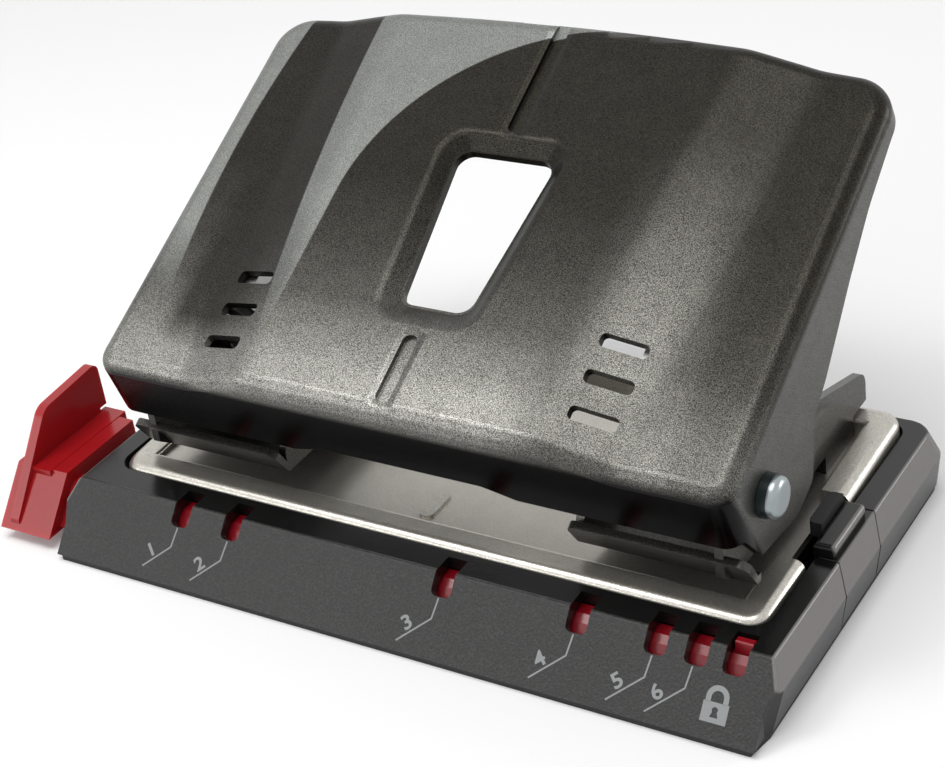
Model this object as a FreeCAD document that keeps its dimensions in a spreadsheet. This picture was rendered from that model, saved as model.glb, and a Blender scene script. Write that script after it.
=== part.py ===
import FreeCAD, Part
import math
import os
from types import SimpleNamespace

import Sketcher

os.makedirs("parts", exist_ok=True)
document = FreeCAD.newDocument("LeverPunch")
sheet = document.addObject("Spreadsheet::Sheet", "Sizes")

# Frame: +Z up with the desk at z = 0, the user in front at -Y, +X to the right.
# The origin is on the desk, 2.4 mm in front of the middle of the two punches' line.
# Lengths in mm, angles in degrees.
sizes = {
    # casing
    "casing_half_top": 54.5,
    "casing_half_ridge": 56.2,
    "casing_half_foot": 55.4,
    "casing_top": 9.6,
    "casing_ridge": 6.0,
    "casing_foot": 1.0,
    "casing_front_foot": 31.7,
    "casing_front_top": 24.1,
    "casing_rear_top": 30.3,
    "casing_rear_foot": 31.6,
    "casing_wall": 1.6,
    "casing_corner": 3.5,
    "casing_chamfer_front": 1.3,
    "casing_chamfer_end": 4.6,
    "casing_edge": 0.4,
    # opening in the casing's top, and the ledge that carries the base plate
    "well_half": 51.4,
    "well_front": 19.7,
    "well_rear": 29.0,
    "well_corner": 3.2,
    "ledge_width": 2.1,
    "ledge_top": 8.0,
    "ledge_gusset": 9.0,
    "screw_inset": 1.7,
    # channel of the paper guide, and the format windows over it
    "channel_back_wall": 0.9,
    "channel_roof": 1.7,
    "window_width": 3.0,
    "window_sill": 7.2,
    "window_back": 1.2,
    "format_a4": 35.1,
    "format_us": 26.3,
    "format_a5": 8.4,
    "format_folio": 28.4,
    "format_a6": 39.4,
    "format_small": 44.9,
    "format_home": 50.0,
    # clearances
    "slide_gap": 0.3,
    "seat_gap": 0.15,
    "pin_fit": 0.05,
    "press_fit": 0.02,
    # base plate
    "plate_thick": 1.2,
    "plate_inset": 0.4,
    "bead_width": 4.2,
    "bead_front": 0.7,
    "bead_rear": 2.8,
    "bead_round": 1.5,
    "bead_inner_round": 0.5,
    "rib_half": 1.1,
    "rib_length": 6.0,
    "rib_rise": 0.35,
    "rib_front": 14.0,
    "rib_side": 1.4,
    # punch units
    "hole_half_spacing": 40.0,
    "punch_line": 2.4,
    "punch_radius": 2.75,
    "punch_head_radius": 3.7,
    "punch_head_thick": 1.43,
    "punch_end": 12.3,
    "punch_top": 24.95,
    "die_radius": 5.0,
    "die_drop": 1.5,
    "bush_radius": 4.3,
    "bush_rise": 0.7,
    "spring_wire": 0.7,
    "spring_radius": 3.4,
    "spring_turns": 4.5,
    "cap_thick": 0.6,
    "cap_radius": 3.75,
    # punch brackets
    "sheet": 1.2,
    "throat": 2.8,
    "bracket_inner": 23.1,
    "bracket_outer": 45.2,
    "bracket_front": 14.5,
    "bracket_stop": 14.4,
    "bracket_inner_top": 17.0,
    "bracket_foot_rear": 24.2,
    "ear_radius": 5.07,
    "ear_slope": 16.7,
    "ear_rear": 28.8,
    "ear_rear_rise": 0.5,
    "ear_rear_round": 2.5,
    "lip_out": 48.4,
    "lip_reach": 2.9,
    "lip_rise": 3.1,
    "lip_corner": 1.6,
    "rivet_radius": 1.3,
    "rivet_head_radius": 2.4,
    "rivet_head": 0.7,
    # lever; its own frame has the pivot as origin, y to the rear along the plate, z square to it
    "pivot_y": -11.9,
    "pivot_z": 23.9,
    "lever_tilt": 27.5,
    "lever_half": 48.8,
    "lever_front": 5.9,
    "lever_rise": 9.2,
    "lever_length": 65.4,
    "lever_bow": 2.2,
    "lever_corner": 6.0,
    "lever_corner_front": 3.0,
    "lever_shoulder": 2.4,
    "lever_crease": 12.0,
    "lever_skirt": 4.6,
    "crown_rise": 2.3,
    "crown_half_front": 22.5,
    "crown_half_rear": 28.0,
    "ramp_run": 10.2,
    "lip_lean": 10.0,
    "lip_drop_middle": 8.4,
    "lip_drop_side": 10.5,
    "lip_drop_end": 9.7,
    "hand_front": 17.3,
    "hand_rear": 42.5,
    "hand_half_front": 5.3,
    "hand_half_rear": 7.8,
    "hand_corner": 2.3,
    "hand_border": 2.4,
    "hand_border_ahead": 3.3,
    "hand_sink": 1.6,
    "hand_soft": 2.0,
    "groove_half": 1.1,
    "groove_depth": 0.7,
    "groove_end": 1.0,
    "groove_front_start": 1.8,
    "groove_front_end": 12.1,
    "groove_rear_start": 45.5,
    "slot_side": 28.6,
    "slot_length": 6.4,
    "slot_width": 2.0,
    "slot_first": 6.2,
    "slot_pitch": 5.3,
    # lever flanges
    "flange_drop": 21.8,
    # press units under the lever
    "press_radius": 2.0,
    "press_ahead": 14.0,
    "press_drop": 3.75,
    "press_outer": 43.0,
    "saddle_inner": 30.2,
    "saddle_outer": 42.0,
    "saddle_depth": 12.0,
    "tab_outer": 35.6,
    "tab_round": 3.2,
    # pivot
    "pin_radius": 1.8,
    "pin_head_radius": 2.8,
    "pin_head": 1.3,
    "pin_tail_radius": 2.6,
    "pin_tail": 0.9,
    "washer_radius": 2.9,
    "washer_thick": 1.2,
    "spacer_radius": 3.4,
    # paper guide
    "guide_stop": 63.5,
    "guide_wall": 1.6,
    "guide_block_outer": 66.8,
    "guide_block_top": 9.5,
    "guide_block_foot": 2.0,
    "guide_top_front": 16.6,
    "guide_top_rear": 17.6,
    "guide_front": 19.3,
    "guide_rear": 7.0,
    "guide_wall_foot": 10.3,
    "guide_bar_foot": 2.6,
    "guide_bar_end": 52.0,
    "guide_bar_top_gap": 0.3,
    "guide_bar_chamfer": 0.6,
    "guide_shelf": 3.5,
    "guide_shelf_foot": 8.0,
    "guide_shelf_top": 9.6,
    "detent_width": 2.4,
    "detent_rise": 1.7,
    # lever lock at the right-hand end
    "lock_front_foot": 6.15,
    "lock_front_ridge": 5.9,
    "lock_front_top": 3.9,
    "lock_rear_top": 8.3,
    "lock_rear_ridge": 5.9,
    "lock_travel": 3.0,
    "lock_thumb_rise": 1.9,
    "lock_thumb_inner": 51.0,
    "lock_thumb_outer": 53.9,
    "tongue_inner": 49.1,
    "tongue_front": 0.75,
    "tongue_rear": 6.5,
    "tongue_foot": 10.4,
    "tongue_top": 12.6,
    # chip tray
    "tray_thick": 1.0,
    "tray_inset": 0.3,
    "tray_wall": 1.2,
    # screws
    "screw_radius": 1.2,
    "screw_head_radius": 2.0,
    "screw_head": 1.3,
    "screw_bite": 1.2,
}


class Size:
    # a number together with the spreadsheet expression that gives it
    def __init__(self, number, text):
        self.number = float(number)
        self.text = text

    def __add__(self, other):
        other = as_size(other)
        return Size(self.number + other.number, "(%s + %s)" % (self.text, other.text))

    def __sub__(self, other):
        other = as_size(other)
        return Size(self.number - other.number, "(%s - %s)" % (self.text, other.text))

    def __mul__(self, other):
        other = as_size(other)
        return Size(self.number * other.number, "(%s * %s)" % (self.text, other.text))

    def __truediv__(self, other):
        other = as_size(other)
        return Size(self.number / other.number, "(%s / %s)" % (self.text, other.text))

    def __radd__(self, other):
        return as_size(other) + self

    def __rsub__(self, other):
        return as_size(other) - self

    def __rmul__(self, other):
        return as_size(other) * self

    def __neg__(self):
        return Size(-self.number, "(0 - %s)" % self.text)


def as_size(value):
    if isinstance(value, Size):
        return value
    return Size(value, repr(float(value)))


def sine(angle):
    return Size(math.sin(math.radians(angle.number)), "sin(%s)" % angle.text)


def cosine(angle):
    return Size(math.cos(math.radians(angle.number)), "cos(%s)" % angle.text)


def slope(angle):
    return Size(math.tan(math.radians(angle.number)), "tan(%s)" % angle.text)


s = SimpleNamespace()
for row, (name, value) in enumerate(sizes.items(), start=1):
    cell = "A%d" % row
    sheet.set(cell, str(value))
    sheet.setAlias(cell, name)
    setattr(s, name, Size(value, "Sizes.%s" % name))
document.recompute()

nodes = []


def new_body(name):
    body = document.addObject("PartDesign::Body", name)
    body.Label = name
    nodes.append(body)
    return body


def bind(item, path, value):
    value = as_size(value)
    item.setExpression(path, value.text)


def origin_plane(body, role):
    for feature in body.Origin.OriginFeatures:
        if feature.Role == role:
            return feature
    raise ValueError(role)


def new_sketch(body, role, offset):
    sketch = body.newObject("Sketcher::SketchObject", body.Name + "Sketch")
    sketch.AttachmentSupport = (origin_plane(body, role), "")
    sketch.MapMode = "FlatFace"
    offset = as_size(offset)
    sketch.AttachmentOffset = FreeCAD.Placement(
        FreeCAD.Vector(0, 0, offset.number), FreeCAD.Rotation())
    bind(sketch, "AttachmentOffset.Base.z", offset)
    return sketch


def pin_point(sketch, geometry, position, x, y):
    # the point's two coordinates follow the spreadsheet
    for kind, value in (("DistanceX", x), ("DistanceY", y)):
        value = as_size(value)
        index = sketch.addConstraint(
            Sketcher.Constraint(kind, -1, 1, geometry, position, value.number))
        bind(sketch, "Constraints[%d]" % index, value)


def turn(before, corner, after):
    one = (corner - before).normalize()
    two = (after - corner).normalize()
    return one, two, one.x * two.y - one.y * two.x


def add_loop(sketch, points):
    # closed outline; a third value rounds the corner with that radius
    flat = [FreeCAD.Vector(as_size(p[0]).number, as_size(p[1]).number, 0) for p in points]
    count = len(points)
    begins = []
    ends = []
    arcs = {}
    for i, point in enumerate(points):
        if len(point) < 3:
            begins.append(flat[i])
            ends.append(flat[i])
            continue
        radius = as_size(point[2]).number
        one, two, cross = turn(flat[i - 1], flat[i], flat[(i + 1) % count])
        half = one.getAngle(two) / 2
        back = radius * math.tan(half)
        start = flat[i] - one * back
        stop = flat[i] + two * back
        side = 1.0 if cross > 0 else -1.0
        centre = start + FreeCAD.Vector(-one.y, one.x, 0) * (radius * side)
        ends.append(start)
        begins.append(stop)
        arcs[i] = (centre, radius, start, stop, side)
    first = sketch.GeometryCount
    for i in range(count):
        sketch.addGeometry(Part.LineSegment(begins[i], ends[(i + 1) % count]), False)
    for i, point in enumerate(points):
        before = first + (i - 1) % count
        after = first + i
        if i not in arcs:
            sketch.addConstraint(Sketcher.Constraint("Coincident", before, 2, after, 1))
            pin_point(sketch, after, 1, point[0], point[1])
            continue
        centre, radius, start, stop, side = arcs[i]
        a, b = (start, stop) if side > 0 else (stop, start)
        circle = Part.Circle(centre, FreeCAD.Vector(0, 0, 1), radius)
        arc = sketch.addGeometry(
            Part.ArcOfCircle(circle, circle.parameter(a), circle.parameter(b)), False)
        near, far = (1, 2) if side > 0 else (2, 1)
        sketch.addConstraint(Sketcher.Constraint("Tangent", before, 2, arc, near))
        sketch.addConstraint(Sketcher.Constraint("Tangent", arc, far, after, 1))
        index = sketch.addConstraint(Sketcher.Constraint("Radius", arc, radius))
        bind(sketch, "Constraints[%d]" % index, point[2])
        corner = sketch.addGeometry(Part.Point(flat[i]), True)
        sketch.addConstraint(Sketcher.Constraint("PointOnObject", corner, 1, before))
        sketch.addConstraint(Sketcher.Constraint("PointOnObject", corner, 1, after))
        pin_point(sketch, corner, 1, point[0], point[1])


def add_circle(sketch, x, y, radius):
    centre = FreeCAD.Vector(as_size(x).number, as_size(y).number, 0)
    circle = Part.Circle(centre, FreeCAD.Vector(0, 0, 1), as_size(radius).number)
    geometry = sketch.addGeometry(circle, False)
    pin_point(sketch, geometry, 3, x, y)
    index = sketch.addConstraint(Sketcher.Constraint("Radius", geometry, as_size(radius).number))
    bind(sketch, "Constraints[%d]" % index, radius)


def volume(body):
    return body.Shape.Volume if body.Tip else 0.0


def extrude(body, role, low, high, loops=(), circles=(), cut=False):
    # a prism between two stations on the plane's axis; XZ sketches look towards -Y
    low = as_size(low)
    high = as_size(high)
    station = low if role != "XZ_Plane" else -high
    before = volume(body)
    sketch = new_sketch(body, role, station)
    for loop in loops:
        add_loop(sketch, loop)
    for circle in circles:
        add_circle(sketch, *circle)
    kind = "PartDesign::Pocket" if cut else "PartDesign::Pad"
    feature = body.newObject(kind, body.Name + ("Pocket" if cut else "Pad"))
    feature.Profile = sketch
    feature.Length = (high - low).number
    bind(feature, "Length", high - low)
    if cut:
        feature.Reversed = True
    document.recompute()
    after = volume(body)
    if (cut and not after < before) or (not cut and not after > before):
        raise ValueError("%s: a prism on %s changed nothing" % (body.Label, role))
    return feature


def revolve(body, role, points, axis, offset=0.0, cut=False):
    before = volume(body)
    sketch = new_sketch(body, role, offset)
    add_loop(sketch, points)
    kind = "PartDesign::Groove" if cut else "PartDesign::Revolution"
    feature = body.newObject(kind, body.Name + "Turned")
    feature.Profile = sketch
    feature.ReferenceAxis = (sketch, [axis])
    feature.Angle = 360.0
    document.recompute()
    after = volume(body)
    if (cut and not after < before) or (not cut and not after > before):
        raise ValueError("%s: a turned form changed nothing" % body.Label)
    return feature


def middle(edge):
    return edge.valueAt((edge.FirstParameter + edge.LastParameter) / 2)


def round_edges(body, radius, picked):
    tip = body.Tip
    names = []
    for number, edge in enumerate(tip.Shape.Edges, start=1):
        if picked(edge, middle(edge)):
            names.append("Edge%d" % number)
    if not names:
        raise ValueError("%s: no edge to round" % body.Label)
    feature = body.newObject("PartDesign::Fillet", body.Name + "Round")
    feature.Base = (tip, names)
    feature.Radius = as_size(radius).number
    bind(feature, "Radius", radius)
    document.recompute()
    if "Invalid" in feature.State or feature.Shape.isNull():
        raise ValueError("%s: rounding %d edges failed" % (body.Label, len(names)))
    return feature


def place(body, x, y, z, angle=None):
    # moves the body's own frame; the angle tips its +y axis upwards
    x, y, z = as_size(x), as_size(y), as_size(z)
    tilt = as_size(angle if angle is not None else 0.0)
    body.Placement = FreeCAD.Placement(
        FreeCAD.Vector(x.number, y.number, z.number),
        FreeCAD.Rotation(FreeCAD.Vector(1, 0, 0), tilt.number))
    bind(body, "Placement.Base.x", x)
    bind(body, "Placement.Base.y", y)
    bind(body, "Placement.Base.z", z)
    if angle is not None:
        bind(body, "Placement.Rotation.Angle", tilt)


def box_loop(x_low, x_high, y_low, y_high):
    return [(x_low, y_low), (x_high, y_low), (x_high, y_high), (x_low, y_high)]


def near(value, target, slack=0.02):
    return abs(value - target.number) < slack


def span(side, inner, outer):
    # stations of a piece that lies between two distances from the middle, on one side
    if side > 0:
        return as_size(inner), as_size(outer)
    return -as_size(outer), -as_size(inner)


# lines that several pieces share
front_slope = (s.casing_front_foot - s.casing_front_top) / (s.casing_top - s.casing_foot)
wall_run = s.casing_wall * Size(
    math.hypot(1, front_slope.number),
    "sqrt(1 + %s * %s)" % (front_slope.text, front_slope.text))


def face_y(z):
    # the casing's sloping front face at a height
    return (as_size(z) - s.casing_foot) * front_slope - s.casing_front_foot


plate_top = s.ledge_top + s.plate_thick
channel_back = -s.well_front - s.channel_back_wall
channel_top = s.casing_top - s.channel_roof
bar_top = channel_top - s.guide_bar_top_gap
beyond = 5.0

# casing: a moulded frame, open on top for the base plate and open below for the chip tray
casing = new_body("casing")
extrude(casing, "YZ_Plane", -s.casing_half_ridge, s.casing_half_ridge, [[
    (-s.casing_front_foot, s.casing_foot),
    (-s.casing_front_top, s.casing_top),
    (s.casing_rear_top, s.casing_top),
    (s.casing_rear_foot, s.casing_foot),
]])
for side in (1, -1):
    extrude(casing, "XZ_Plane", -s.casing_front_foot - beyond, s.casing_rear_foot + beyond, [[
        (side * s.casing_half_foot, s.casing_foot - beyond),
        (side * s.casing_half_foot, s.casing_foot),
        (side * s.casing_half_ridge, s.casing_ridge),
        (side * s.casing_half_top, s.casing_top),
        (side * s.casing_half_top, s.casing_top + beyond),
        (side * (s.casing_half_ridge + beyond), s.casing_top + beyond),
        (side * (s.casing_half_ridge + beyond), s.casing_foot - beyond),
    ]], cut=True)
round_edges(casing, s.casing_corner, lambda edge, at: (
    at.y > 28 and abs(at.x) > 50 and abs(edge.tangentAt(edge.FirstParameter).z) > 0.5))
for side in (1, -1):
    front_foot_x = s.casing_half_ridge - s.casing_chamfer_front
    extrude(casing, "XY_Plane", s.casing_foot - beyond, s.casing_top + beyond, [[
        (side * front_foot_x, -s.casing_front_foot - beyond),
        (side * front_foot_x, face_y(s.casing_ridge) - s.casing_chamfer_front),
        (side * (s.casing_half_ridge + 1), face_y(s.casing_ridge) + s.casing_chamfer_end),
        (side * (s.casing_half_ridge + beyond), face_y(s.casing_ridge) + s.casing_chamfer_end),
        (side * (s.casing_half_ridge + beyond), -s.casing_front_foot - beyond),
    ]], cut=True)
round_edges(casing, s.casing_edge, lambda edge, at: (
    near(at.z, s.casing_top) and abs(edge.tangentAt(edge.FirstParameter).z) < 0.1))

well_loop = [
    (-s.well_half, -s.well_front, s.well_corner),
    (s.well_half, -s.well_front, s.well_corner),
    (s.well_half, s.well_rear, s.well_corner),
    (-s.well_half, s.well_rear, s.well_corner),
]
extrude(casing, "XY_Plane", s.ledge_top, s.casing_top + beyond, [well_loop], cut=True)
ledge_half = s.well_half - s.ledge_width
ledge_front = -s.well_front + s.ledge_width
ledge_rear = s.well_rear - s.ledge_width
extrude(casing, "XY_Plane", s.casing_foot - beyond, s.ledge_top, [[
    (-ledge_half + s.ledge_gusset, ledge_front),
    (ledge_half - s.ledge_gusset, ledge_front),
    (ledge_half, ledge_front + s.ledge_gusset),
    (ledge_half, ledge_rear - s.ledge_gusset),
    (ledge_half - s.ledge_gusset, ledge_rear),
    (-ledge_half + s.ledge_gusset, ledge_rear),
    (-ledge_half, ledge_rear - s.ledge_gusset),
    (-ledge_half, ledge_front + s.ledge_gusset),
]], cut=True)
cavity_top = s.ledge_top - s.casing_wall
cavity_half = s.casing_half_foot - s.casing_wall
cavity_rear = s.casing_rear_foot - s.casing_wall - s.press_fit
extrude(casing, "XY_Plane", s.casing_foot - beyond, cavity_top, [[
    (-cavity_half, -s.well_front),
    (cavity_half, -s.well_front),
    (cavity_half, cavity_rear - s.casing_wall, s.well_corner),
    (-cavity_half, cavity_rear - s.casing_wall, s.well_corner),
]], cut=True)

# channel for the guide's bar: open below and at the left-hand end
channel_end = s.guide_bar_end + s.slide_gap
extrude(casing, "YZ_Plane", -s.casing_half_ridge - beyond, channel_end, [[
    (face_y(s.casing_foot - beyond) + wall_run, s.casing_foot - beyond),
    (channel_back, s.casing_foot - beyond),
    (channel_back, channel_top),
    (face_y(channel_top) + wall_run, channel_top),
]], cut=True)
formats = [-s.format_a4, -s.format_us, s.format_a5, s.format_folio, s.format_a6,
           s.format_small, s.format_home]
window_rear = -s.well_front - s.window_back
sill_y = face_y(s.window_sill)
for centre in formats:
    left = centre - s.window_width / 2
    extrude(casing, "YZ_Plane", left, left + s.window_width, [[
        (sill_y - beyond, s.window_sill + front_slope * beyond),
        (sill_y + s.casing_wall, s.window_sill - front_slope * s.casing_wall),
        (window_rear, s.window_sill - front_slope * s.casing_wall),
        (window_rear, s.casing_top + beyond),
        (sill_y - beyond, s.casing_top + beyond),
    ]], cut=True)

# recess for the lever lock in the right-hand end
extrude(casing, "YZ_Plane", s.well_half - s.lock_travel, s.casing_half_ridge + beyond, [[
    (-s.lock_front_foot, s.casing_foot - beyond),
    (-s.lock_front_ridge, s.casing_ridge),
    (-s.lock_front_top, s.casing_top),
    (-s.lock_front_top, s.casing_top + beyond),
    (s.lock_rear_top, s.casing_top + beyond),
    (s.lock_rear_top, s.casing_top),
    (s.lock_rear_ridge, s.casing_ridge),
    (s.lock_rear_ridge, s.casing_foot - beyond),
]], cut=True)

# screw holes in the four gussets
screw_points = []
for x in (-(ledge_half - s.screw_inset), ledge_half - s.screw_inset):
    for y in (ledge_front + s.screw_inset, ledge_rear - s.screw_inset):
        screw_points.append((x, y))
extrude(casing, "XY_Plane", cavity_top - 1, s.ledge_top + 1, circles=[
    (x, y, s.screw_radius + s.press_fit) for x, y in screw_points], cut=True)

# base plate: pressed sheet with a bead round it that rises to the rear
base_plate = new_body("base_plate")
plate_half = s.well_half - s.plate_inset
plate_front = -s.well_front + s.plate_inset
plate_rear = s.well_rear - s.plate_inset
extrude(base_plate, "YZ_Plane", -plate_half, plate_half, [[
    (plate_front, s.ledge_top),
    (plate_rear, s.ledge_top),
    (plate_rear, plate_top + s.bead_rear),
    (plate_front, plate_top + s.bead_front),
]])
round_edges(base_plate, s.well_corner - s.plate_inset / 2, lambda edge, at: (
    abs(edge.tangentAt(edge.FirstParameter).z) > 0.9))
round_edges(base_plate, s.bead_round, lambda edge, at: (
    at.z > plate_top.number + 0.3 and abs(edge.tangentAt(edge.FirstParameter).z) < 0.3))
field_half = plate_half - s.bead_width
field_front = plate_front + s.bead_width
field_rear = plate_rear - s.bead_width
extrude(base_plate, "XY_Plane", plate_top, plate_top + s.bead_rear + beyond, [
    box_loop(-field_half, field_half, field_front, field_rear)], cut=True)
round_edges(base_plate, s.bead_inner_round, lambda edge, at: (
    at.z > plate_top.number + 0.3
    and abs(at.x) < field_half.number + 0.1
    and field_front.number - 0.1 < at.y < field_rear.number + 0.1
    and abs(edge.tangentAt(edge.FirstParameter).z) < 0.3))
notch_inner = s.well_half - s.lock_travel
extrude(base_plate, "XY_Plane", s.ledge_top - 1, plate_top + s.bead_rear + beyond, [
    box_loop(notch_inner, plate_half + 1, -s.lock_front_foot, s.lock_rear_top)], cut=True)
extrude(base_plate, "XY_Plane", plate_top, plate_top + s.bead_rear + beyond, [
    box_loop(field_half - 1, plate_half + 1, -s.lock_front_foot, s.lock_rear_top)], cut=True)
rib_x = -s.rib_side
extrude(base_plate, "XY_Plane", plate_top - s.plate_thick / 2, plate_top + s.rib_rise, [[
    (rib_x - s.rib_half, -s.rib_front, s.rib_half * 0.9),
    (rib_x + s.rib_half, -s.rib_front, s.rib_half * 0.9),
    (rib_x + s.rib_half, s.rib_length - s.rib_front, s.rib_half * 0.9),
    (rib_x - s.rib_half, s.rib_length - s.rib_front, s.rib_half * 0.9),
]])
extrude(base_plate, "XY_Plane", s.ledge_top - 1, plate_top + 1, circles=[
    (side * s.hole_half_spacing, s.punch_line, s.die_radius) for side in (-1, 1)], cut=True)
extrude(base_plate, "XY_Plane", s.ledge_top - 1, s.ledge_top + s.screw_bite, circles=[
    (x, y, s.screw_radius + s.press_fit) for x, y in screw_points], cut=True)

# punch brackets: pressed sheet, each with a web over the paper's throat, a foot and two cheeks
throat_top = plate_top + s.throat
web_top = throat_top + s.sheet
stop_rear = s.bracket_stop + s.sheet
foot_top = plate_top + s.sheet
rivet_xs = (s.bracket_inner + 5.2, s.bracket_outer - 5.2)
rivet_y = (stop_rear + s.bracket_foot_rear) / 2
ear_top_at_pivot = s.pivot_z + s.ear_radius / cosine(s.ear_slope)
ear_front = s.pivot_y - s.ear_radius


def ear_top(y):
    # the outer cheek's sloping top edge
    return ear_top_at_pivot - (as_size(y) - s.pivot_y) * slope(s.ear_slope)


for side, name in ((-1, "bracket_left"), (1, "bracket_right")):
    bracket = new_body(name)
    lip_profile = [
        (-s.bracket_front, throat_top),
        (-s.bracket_front + 1.0, throat_top),
        (-s.bracket_front + 1.0, web_top),
        (-s.bracket_front + 0.25, web_top),
        (-s.bracket_front - s.lip_reach + 0.95, web_top + s.lip_rise + 0.6),
        (-s.bracket_front - s.lip_reach, web_top + s.lip_rise),
    ]
    low, high = span(side, s.bracket_inner, s.bracket_outer)
    extrude(bracket, "YZ_Plane", low, high, [[
        (-s.bracket_front, throat_top),
        (s.bracket_stop, throat_top),
        (s.bracket_stop, plate_top),
        (s.bracket_foot_rear, plate_top),
        (s.bracket_foot_rear, foot_top),
        (stop_rear, foot_top),
        (stop_rear, web_top, s.sheet * 0.8),
        (-s.bracket_front, web_top),
    ]])
    low, high = span(side, s.bracket_inner, s.lip_out)
    extrude(bracket, "YZ_Plane", low, high, [lip_profile])
    round_edges(bracket, s.lip_corner, lambda edge, at: (
        at.z > web_top.number + s.lip_rise.number
        and abs(edge.tangentAt(edge.FirstParameter).x) < 0.1))
    low, high = span(side, s.bracket_outer - s.sheet, s.bracket_outer)
    extrude(bracket, "YZ_Plane", low, high, [[
        (ear_front, throat_top + 1.8),
        (-s.bracket_front, throat_top),
        (s.bracket_foot_rear, throat_top),
        (s.bracket_foot_rear, plate_top + s.bead_rear + s.ear_rear_rise),
        (s.ear_rear, plate_top + s.bead_rear + s.ear_rear_rise),
        (s.ear_rear, ear_top(s.ear_rear), s.ear_rear_round),
        (ear_front, ear_top(ear_front), s.ear_radius),
    ]])
    extrude(bracket, "YZ_Plane", low, high, [[
        (s.bracket_stop, plate_top),
        (s.bracket_foot_rear, plate_top),
        (s.bracket_foot_rear, throat_top + 1),
        (s.bracket_stop, throat_top + 1),
    ]])
    low, high = span(side, s.bracket_inner, s.bracket_inner + s.sheet)
    extrude(bracket, "YZ_Plane", low, high, [[
        (-s.bracket_front, throat_top),
        (s.bracket_stop, throat_top),
        (s.bracket_stop, s.bracket_inner_top, s.ear_rear_round),
        (-s.bracket_front, s.bracket_inner_top, s.ear_rear_round),
    ]])
    low, high = span(side, s.bracket_outer - s.sheet - 1, s.bracket_outer + 1)
    extrude(bracket, "YZ_Plane", low, high, circles=[
        (s.pivot_y, s.pivot_z, s.pin_radius + s.pin_fit)], cut=True)
    extrude(bracket, "XY_Plane", throat_top - 1, web_top + 1, circles=[
        (side * s.hole_half_spacing, s.punch_line, s.bush_radius)], cut=True)
    extrude(bracket, "XY_Plane", plate_top - 1, foot_top + 1, circles=[
        (side * x, rivet_y, s.rivet_radius) for x in rivet_xs], cut=True)

rivets = []
for side in (-1, 1):
    for x in rivet_xs:
        rivets.append((side * x, rivet_y))
extrude(base_plate, "XY_Plane", s.ledge_top - 1, plate_top + 1, circles=[
    (x, y, s.rivet_radius) for x, y in rivets], cut=True)


def turned(name, points, x, y, z):
    # a solid of revolution about its own z axis
    body = new_body(name)
    revolve(body, "XZ_Plane", points, "V_Axis")
    place(body, x, y, z)
    return body


for number, (x, y) in enumerate(rivets, start=1):
    turned("bracket_rivet_%d" % number, [
        (0.0, s.ledge_top - s.rivet_head),
        (s.rivet_head_radius - s.rivet_head * 0.6, s.ledge_top - s.rivet_head),
        (s.rivet_head_radius, s.ledge_top - s.rivet_head * 0.4),
        (s.rivet_head_radius, s.ledge_top),
        (s.rivet_radius, s.ledge_top),
        (s.rivet_radius, foot_top),
        (s.rivet_head_radius, foot_top),
        (s.rivet_head_radius, foot_top + s.rivet_head * 0.4),
        (s.rivet_head_radius - s.rivet_head * 0.6, foot_top + s.rivet_head),
        (0.0, foot_top + s.rivet_head),
    ], x, y, 0.0)
for number, (x, y) in enumerate(screw_points, start=1):
    turned("plate_screw_%d" % number, [
        (0.0, cavity_top - s.screw_head),
        (s.screw_head_radius, cavity_top - s.screw_head),
        (s.screw_head_radius, cavity_top),
        (s.screw_radius, cavity_top),
        (s.screw_radius, s.ledge_top + s.screw_bite),
        (0.0, s.ledge_top + s.screw_bite),
    ], x, y, 0.0)

bore = s.punch_radius + s.pin_fit
cap_top = s.punch_top - s.punch_head_thick
bush_top = web_top + s.bush_rise
for side, hand in ((-1, "left"), (1, "right")):
    x = side * s.hole_half_spacing
    turned("die_" + hand, [
        (bore, s.ledge_top - s.die_drop),
        (s.die_radius - s.press_fit, s.ledge_top - s.die_drop),
        (s.die_radius - s.press_fit, plate_top),
        (bore, plate_top),
    ], x, s.punch_line, 0.0)
    turned("guide_bush_" + hand, [
        (bore, throat_top),
        (s.bush_radius - s.press_fit, throat_top),
        (s.bush_radius - s.press_fit, bush_top),
        (bore, bush_top),
    ], x, s.punch_line, 0.0)
    punch = turned("punch_" + hand, [
        (0.0, s.punch_end + 0.5),
        (s.punch_radius, s.punch_end),
        (s.punch_radius, cap_top),
        (s.punch_head_radius, cap_top),
        (s.punch_head_radius, s.punch_top - 0.3),
        (s.punch_head_radius - 0.3, s.punch_top),
        (0.0, s.punch_top),
    ], x, s.punch_line, 0.0)
    turned("spring_cap_" + hand, [
        (s.punch_radius + s.press_fit, cap_top - s.cap_thick),
        (s.cap_radius, cap_top - s.cap_thick),
        (s.cap_radius, cap_top),
        (s.punch_radius + s.press_fit, cap_top),
    ], x, s.punch_line, 0.0)
    spring = new_body("punch_spring_" + hand)
    spring_span = cap_top - s.cap_thick - bush_top - s.spring_wire - 0.02
    section = new_sketch(spring, "XZ_Plane", 0.0)
    add_loop(section, [
        (s.spring_radius - s.spring_wire / 2, 0.0),
        (s.spring_radius + s.spring_wire / 2, 0.0),
        (s.spring_radius + s.spring_wire / 2, s.spring_wire),
        (s.spring_radius - s.spring_wire / 2, s.spring_wire),
    ])
    coil = spring.newObject("PartDesign::AdditiveHelix", spring.Name + "Coil")
    coil.Profile = section
    coil.ReferenceAxis = (section, ["V_Axis"])
    coil.Mode = "height-turns-growth"
    coil.Height = spring_span.number
    coil.Turns = s.spring_turns.number
    coil.Growth = 0.0
    bind(coil, "Height", spring_span)
    bind(coil, "Turns", s.spring_turns)
    place(spring, x, s.punch_line, bush_top + 0.01)
document.recompute()

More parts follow.
